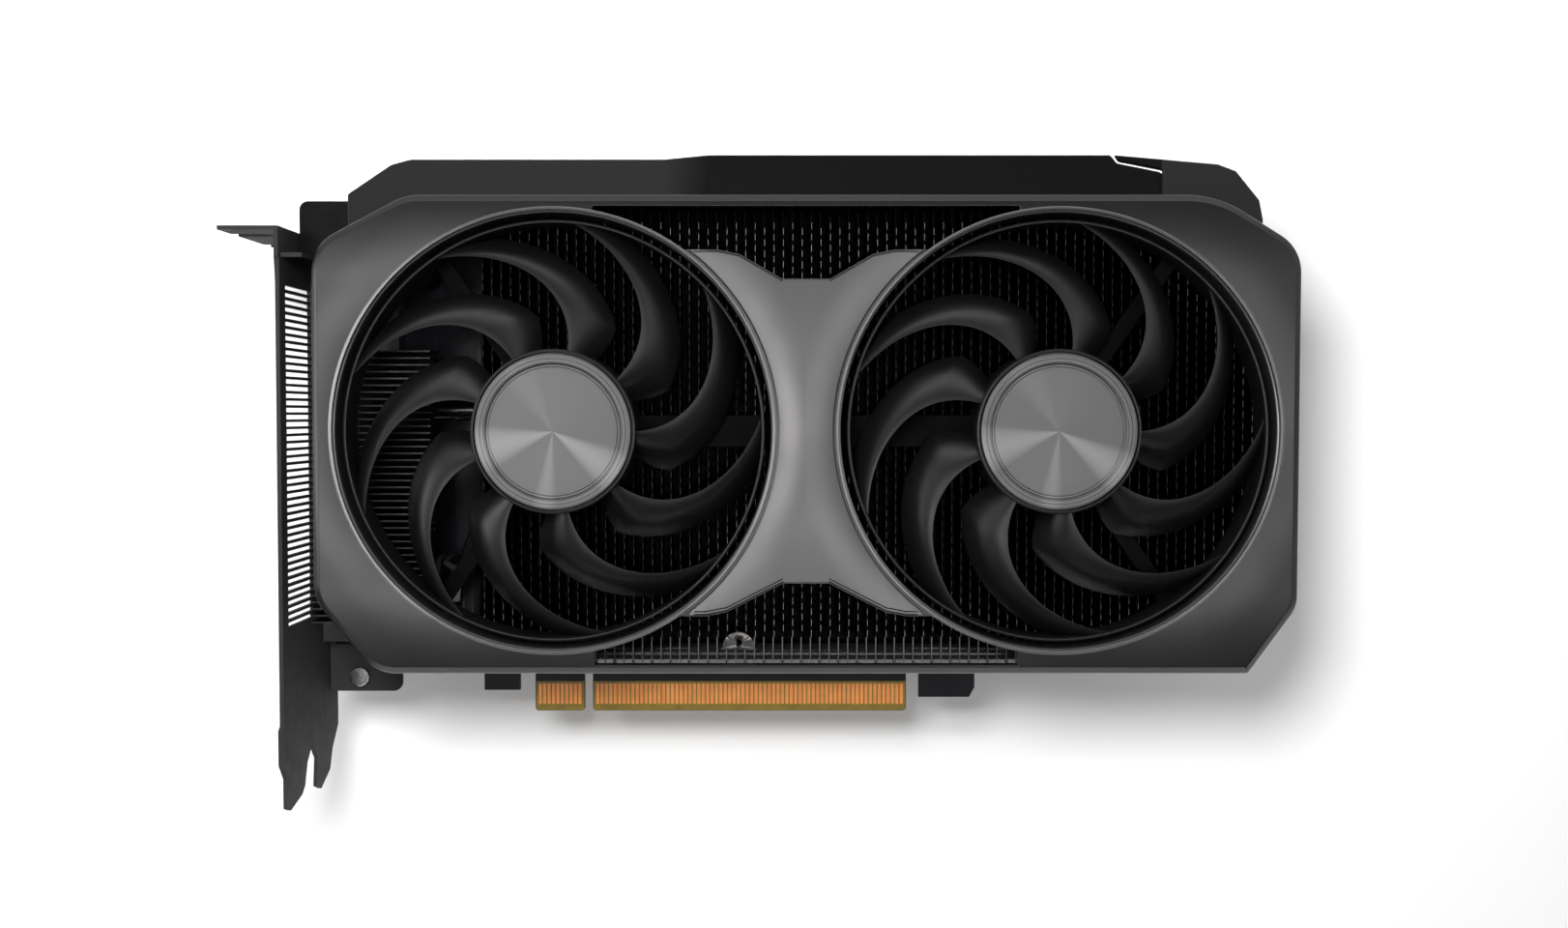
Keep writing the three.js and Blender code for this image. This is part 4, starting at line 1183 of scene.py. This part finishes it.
def area_light(name, bearing, height, distance, size, power):
    """A soft light at a bearing (degrees right of the fan side) and a height above the card's middle."""
    light = bpy.data.lights.new(name, "AREA")
    light.shape = "RECTANGLE"
    light.size, light.size_y = size
    light.energy = power
    holder = bpy.data.objects.new(name, light)
    stand(holder, bearing, height, distance)
    holder.visible_camera = False
    bpy.context.scene.collection.objects.link(holder)


def glow(name, strength):
    """A pale material that gives light of its own."""
    material = bpy.data.materials.new(name)
    material.use_nodes = True
    shader = material.node_tree.nodes["Principled BSDF"]
    shader.inputs["Base Color"].default_value = grey(0.8)
    shader.inputs["Emission Color"].default_value = grey(1.0)
    shader.inputs["Emission Strength"].default_value = strength
    return material


def reflection_card(name, bearing, height, distance, size, strength):
    """A glowing sheet that is seen only as a reflection in the graphics card."""
    half_wide, half_high = size[0] / 2, size[1] / 2
    corners = [(x * half_wide, y * half_high, 0) for x, y in ((-1, -1), (1, -1), (1, 1), (-1, 1))]
    sheet = bpy.data.objects.new(name, sheet_mesh(name, corners, glow(name, strength)))
    stand(sheet, bearing, height, distance)
    only_reflected(sheet)


def only_reflected(sheet):
    """Puts a sheet in the scene that shows in reflections alone."""
    sheet.visible_camera = False
    sheet.visible_diffuse = False
    sheet.visible_shadow = False
    bpy.context.scene.collection.objects.link(sheet)


def stand(holder, bearing, height, distance):
    """Places something round the card and turns it to face the card's middle."""
    flat = distance * math.cos(math.radians(height))
    across = flat * math.sin(math.radians(bearing))
    ahead = -flat * math.cos(math.radians(bearing))
    holder.location = CENTRE + Vector((across, ahead, distance * math.sin(math.radians(height))))
    holder.rotation_euler = (CENTRE - holder.location).to_track_quat("-Z", "Y").to_euler()


def build_flags():
    """Black flags in front of the card and over the floor there, seen only as reflections in it."""
    surface = Surface("black_flag", grey(0.002), 0.9)
    material = surface.mottle(200, 0.1).done()
    far, near, side, high = -1.9, -0.06, 1.5, 1.7
    low = FLOOR_Z + 1 * MM
    sheets = {
        "front_flag": [(-side, far, low), (side, far, low), (side, far, high), (-side, far, high)],
        "floor_flag": [(-side, far, low), (side, far, low), (side, near, low), (-side, near, low)],
    }
    for name, corners in sheets.items():
        only_reflected(bpy.data.objects.new(name, sheet_mesh(name, corners, material)))


def shadow_light():
    """A soft light as far in front of the card as the camera, so the shadow lies right of it and below it."""
    left_and_above = Vector((-52, 0, 76)) * MM
    light = bpy.data.lights.new("shadow_light", "AREA")
    light.shape = "DISK"
    light.size = 0.11
    light.energy = 1.9
    holder = bpy.data.objects.new("shadow_light", light)
    holder.location = CAMERA_PLACE + left_and_above
    holder.rotation_euler = (CENTRE - holder.location).to_track_quat("-Z", "Y").to_euler()
    holder.visible_camera = False
    holder.visible_glossy = False
    bpy.context.scene.collection.objects.link(holder)


def build_lights():
    shadow_light()
    area_light("top_strip", 5, 68, 1.2, (1.6, 0.3), 2.5)
    reflection_card("key_card", -19, -4, 1.5, (0.3, 0.5), 11)
    reflection_card("front_card", 10, -3, 1.45, (0.7, 0.2), 6)
    reflection_card("right_card", 42, 2, 1.2, (0.3, 0.6), 1.0)
    reflection_card("left_card", -80, 4, 1.2, (0.4, 0.8), 5.0)
    area_light("back_panel", 170, 35, 1.4, (1.2, 1.2), 8)
    world = bpy.data.worlds.new("studio")
    world.use_nodes = True
    background = world.node_tree.nodes["Background"]
    background.inputs["Color"].default_value = grey(1.0)
    background.inputs["Strength"].default_value = 0.46
    bpy.context.scene.world = world
    bpy.context.scene.view_settings.view_transform = "Standard"


def build_camera():
    data = bpy.data.cameras.new("camera")
    data.lens = 35
    data.sensor_width = 36
    camera = bpy.data.objects.new("camera", data)
    camera.location = CAMERA_PLACE
    camera.rotation_euler = (math.radians(90 - CAMERA_PITCH), 0, 0)
    data.clip_start = 0.01
    bpy.context.scene.collection.objects.link(camera)
    bpy.context.scene.camera = camera


build_shroud()
build_trim()
build_trim_groove_shade()
for fan_side in FAN_X:
    build_rotor(fan_side)
    build_hub_cap(fan_side)
build_main_fins()
build_lower_fin_ends()
build_pipe_tab()
build_end_fins()
build_connector()
build_seam_backing()
build_refined()
build_stage()
build_flags()
build_lights()
build_camera()

bpy.context.view_layer.update()
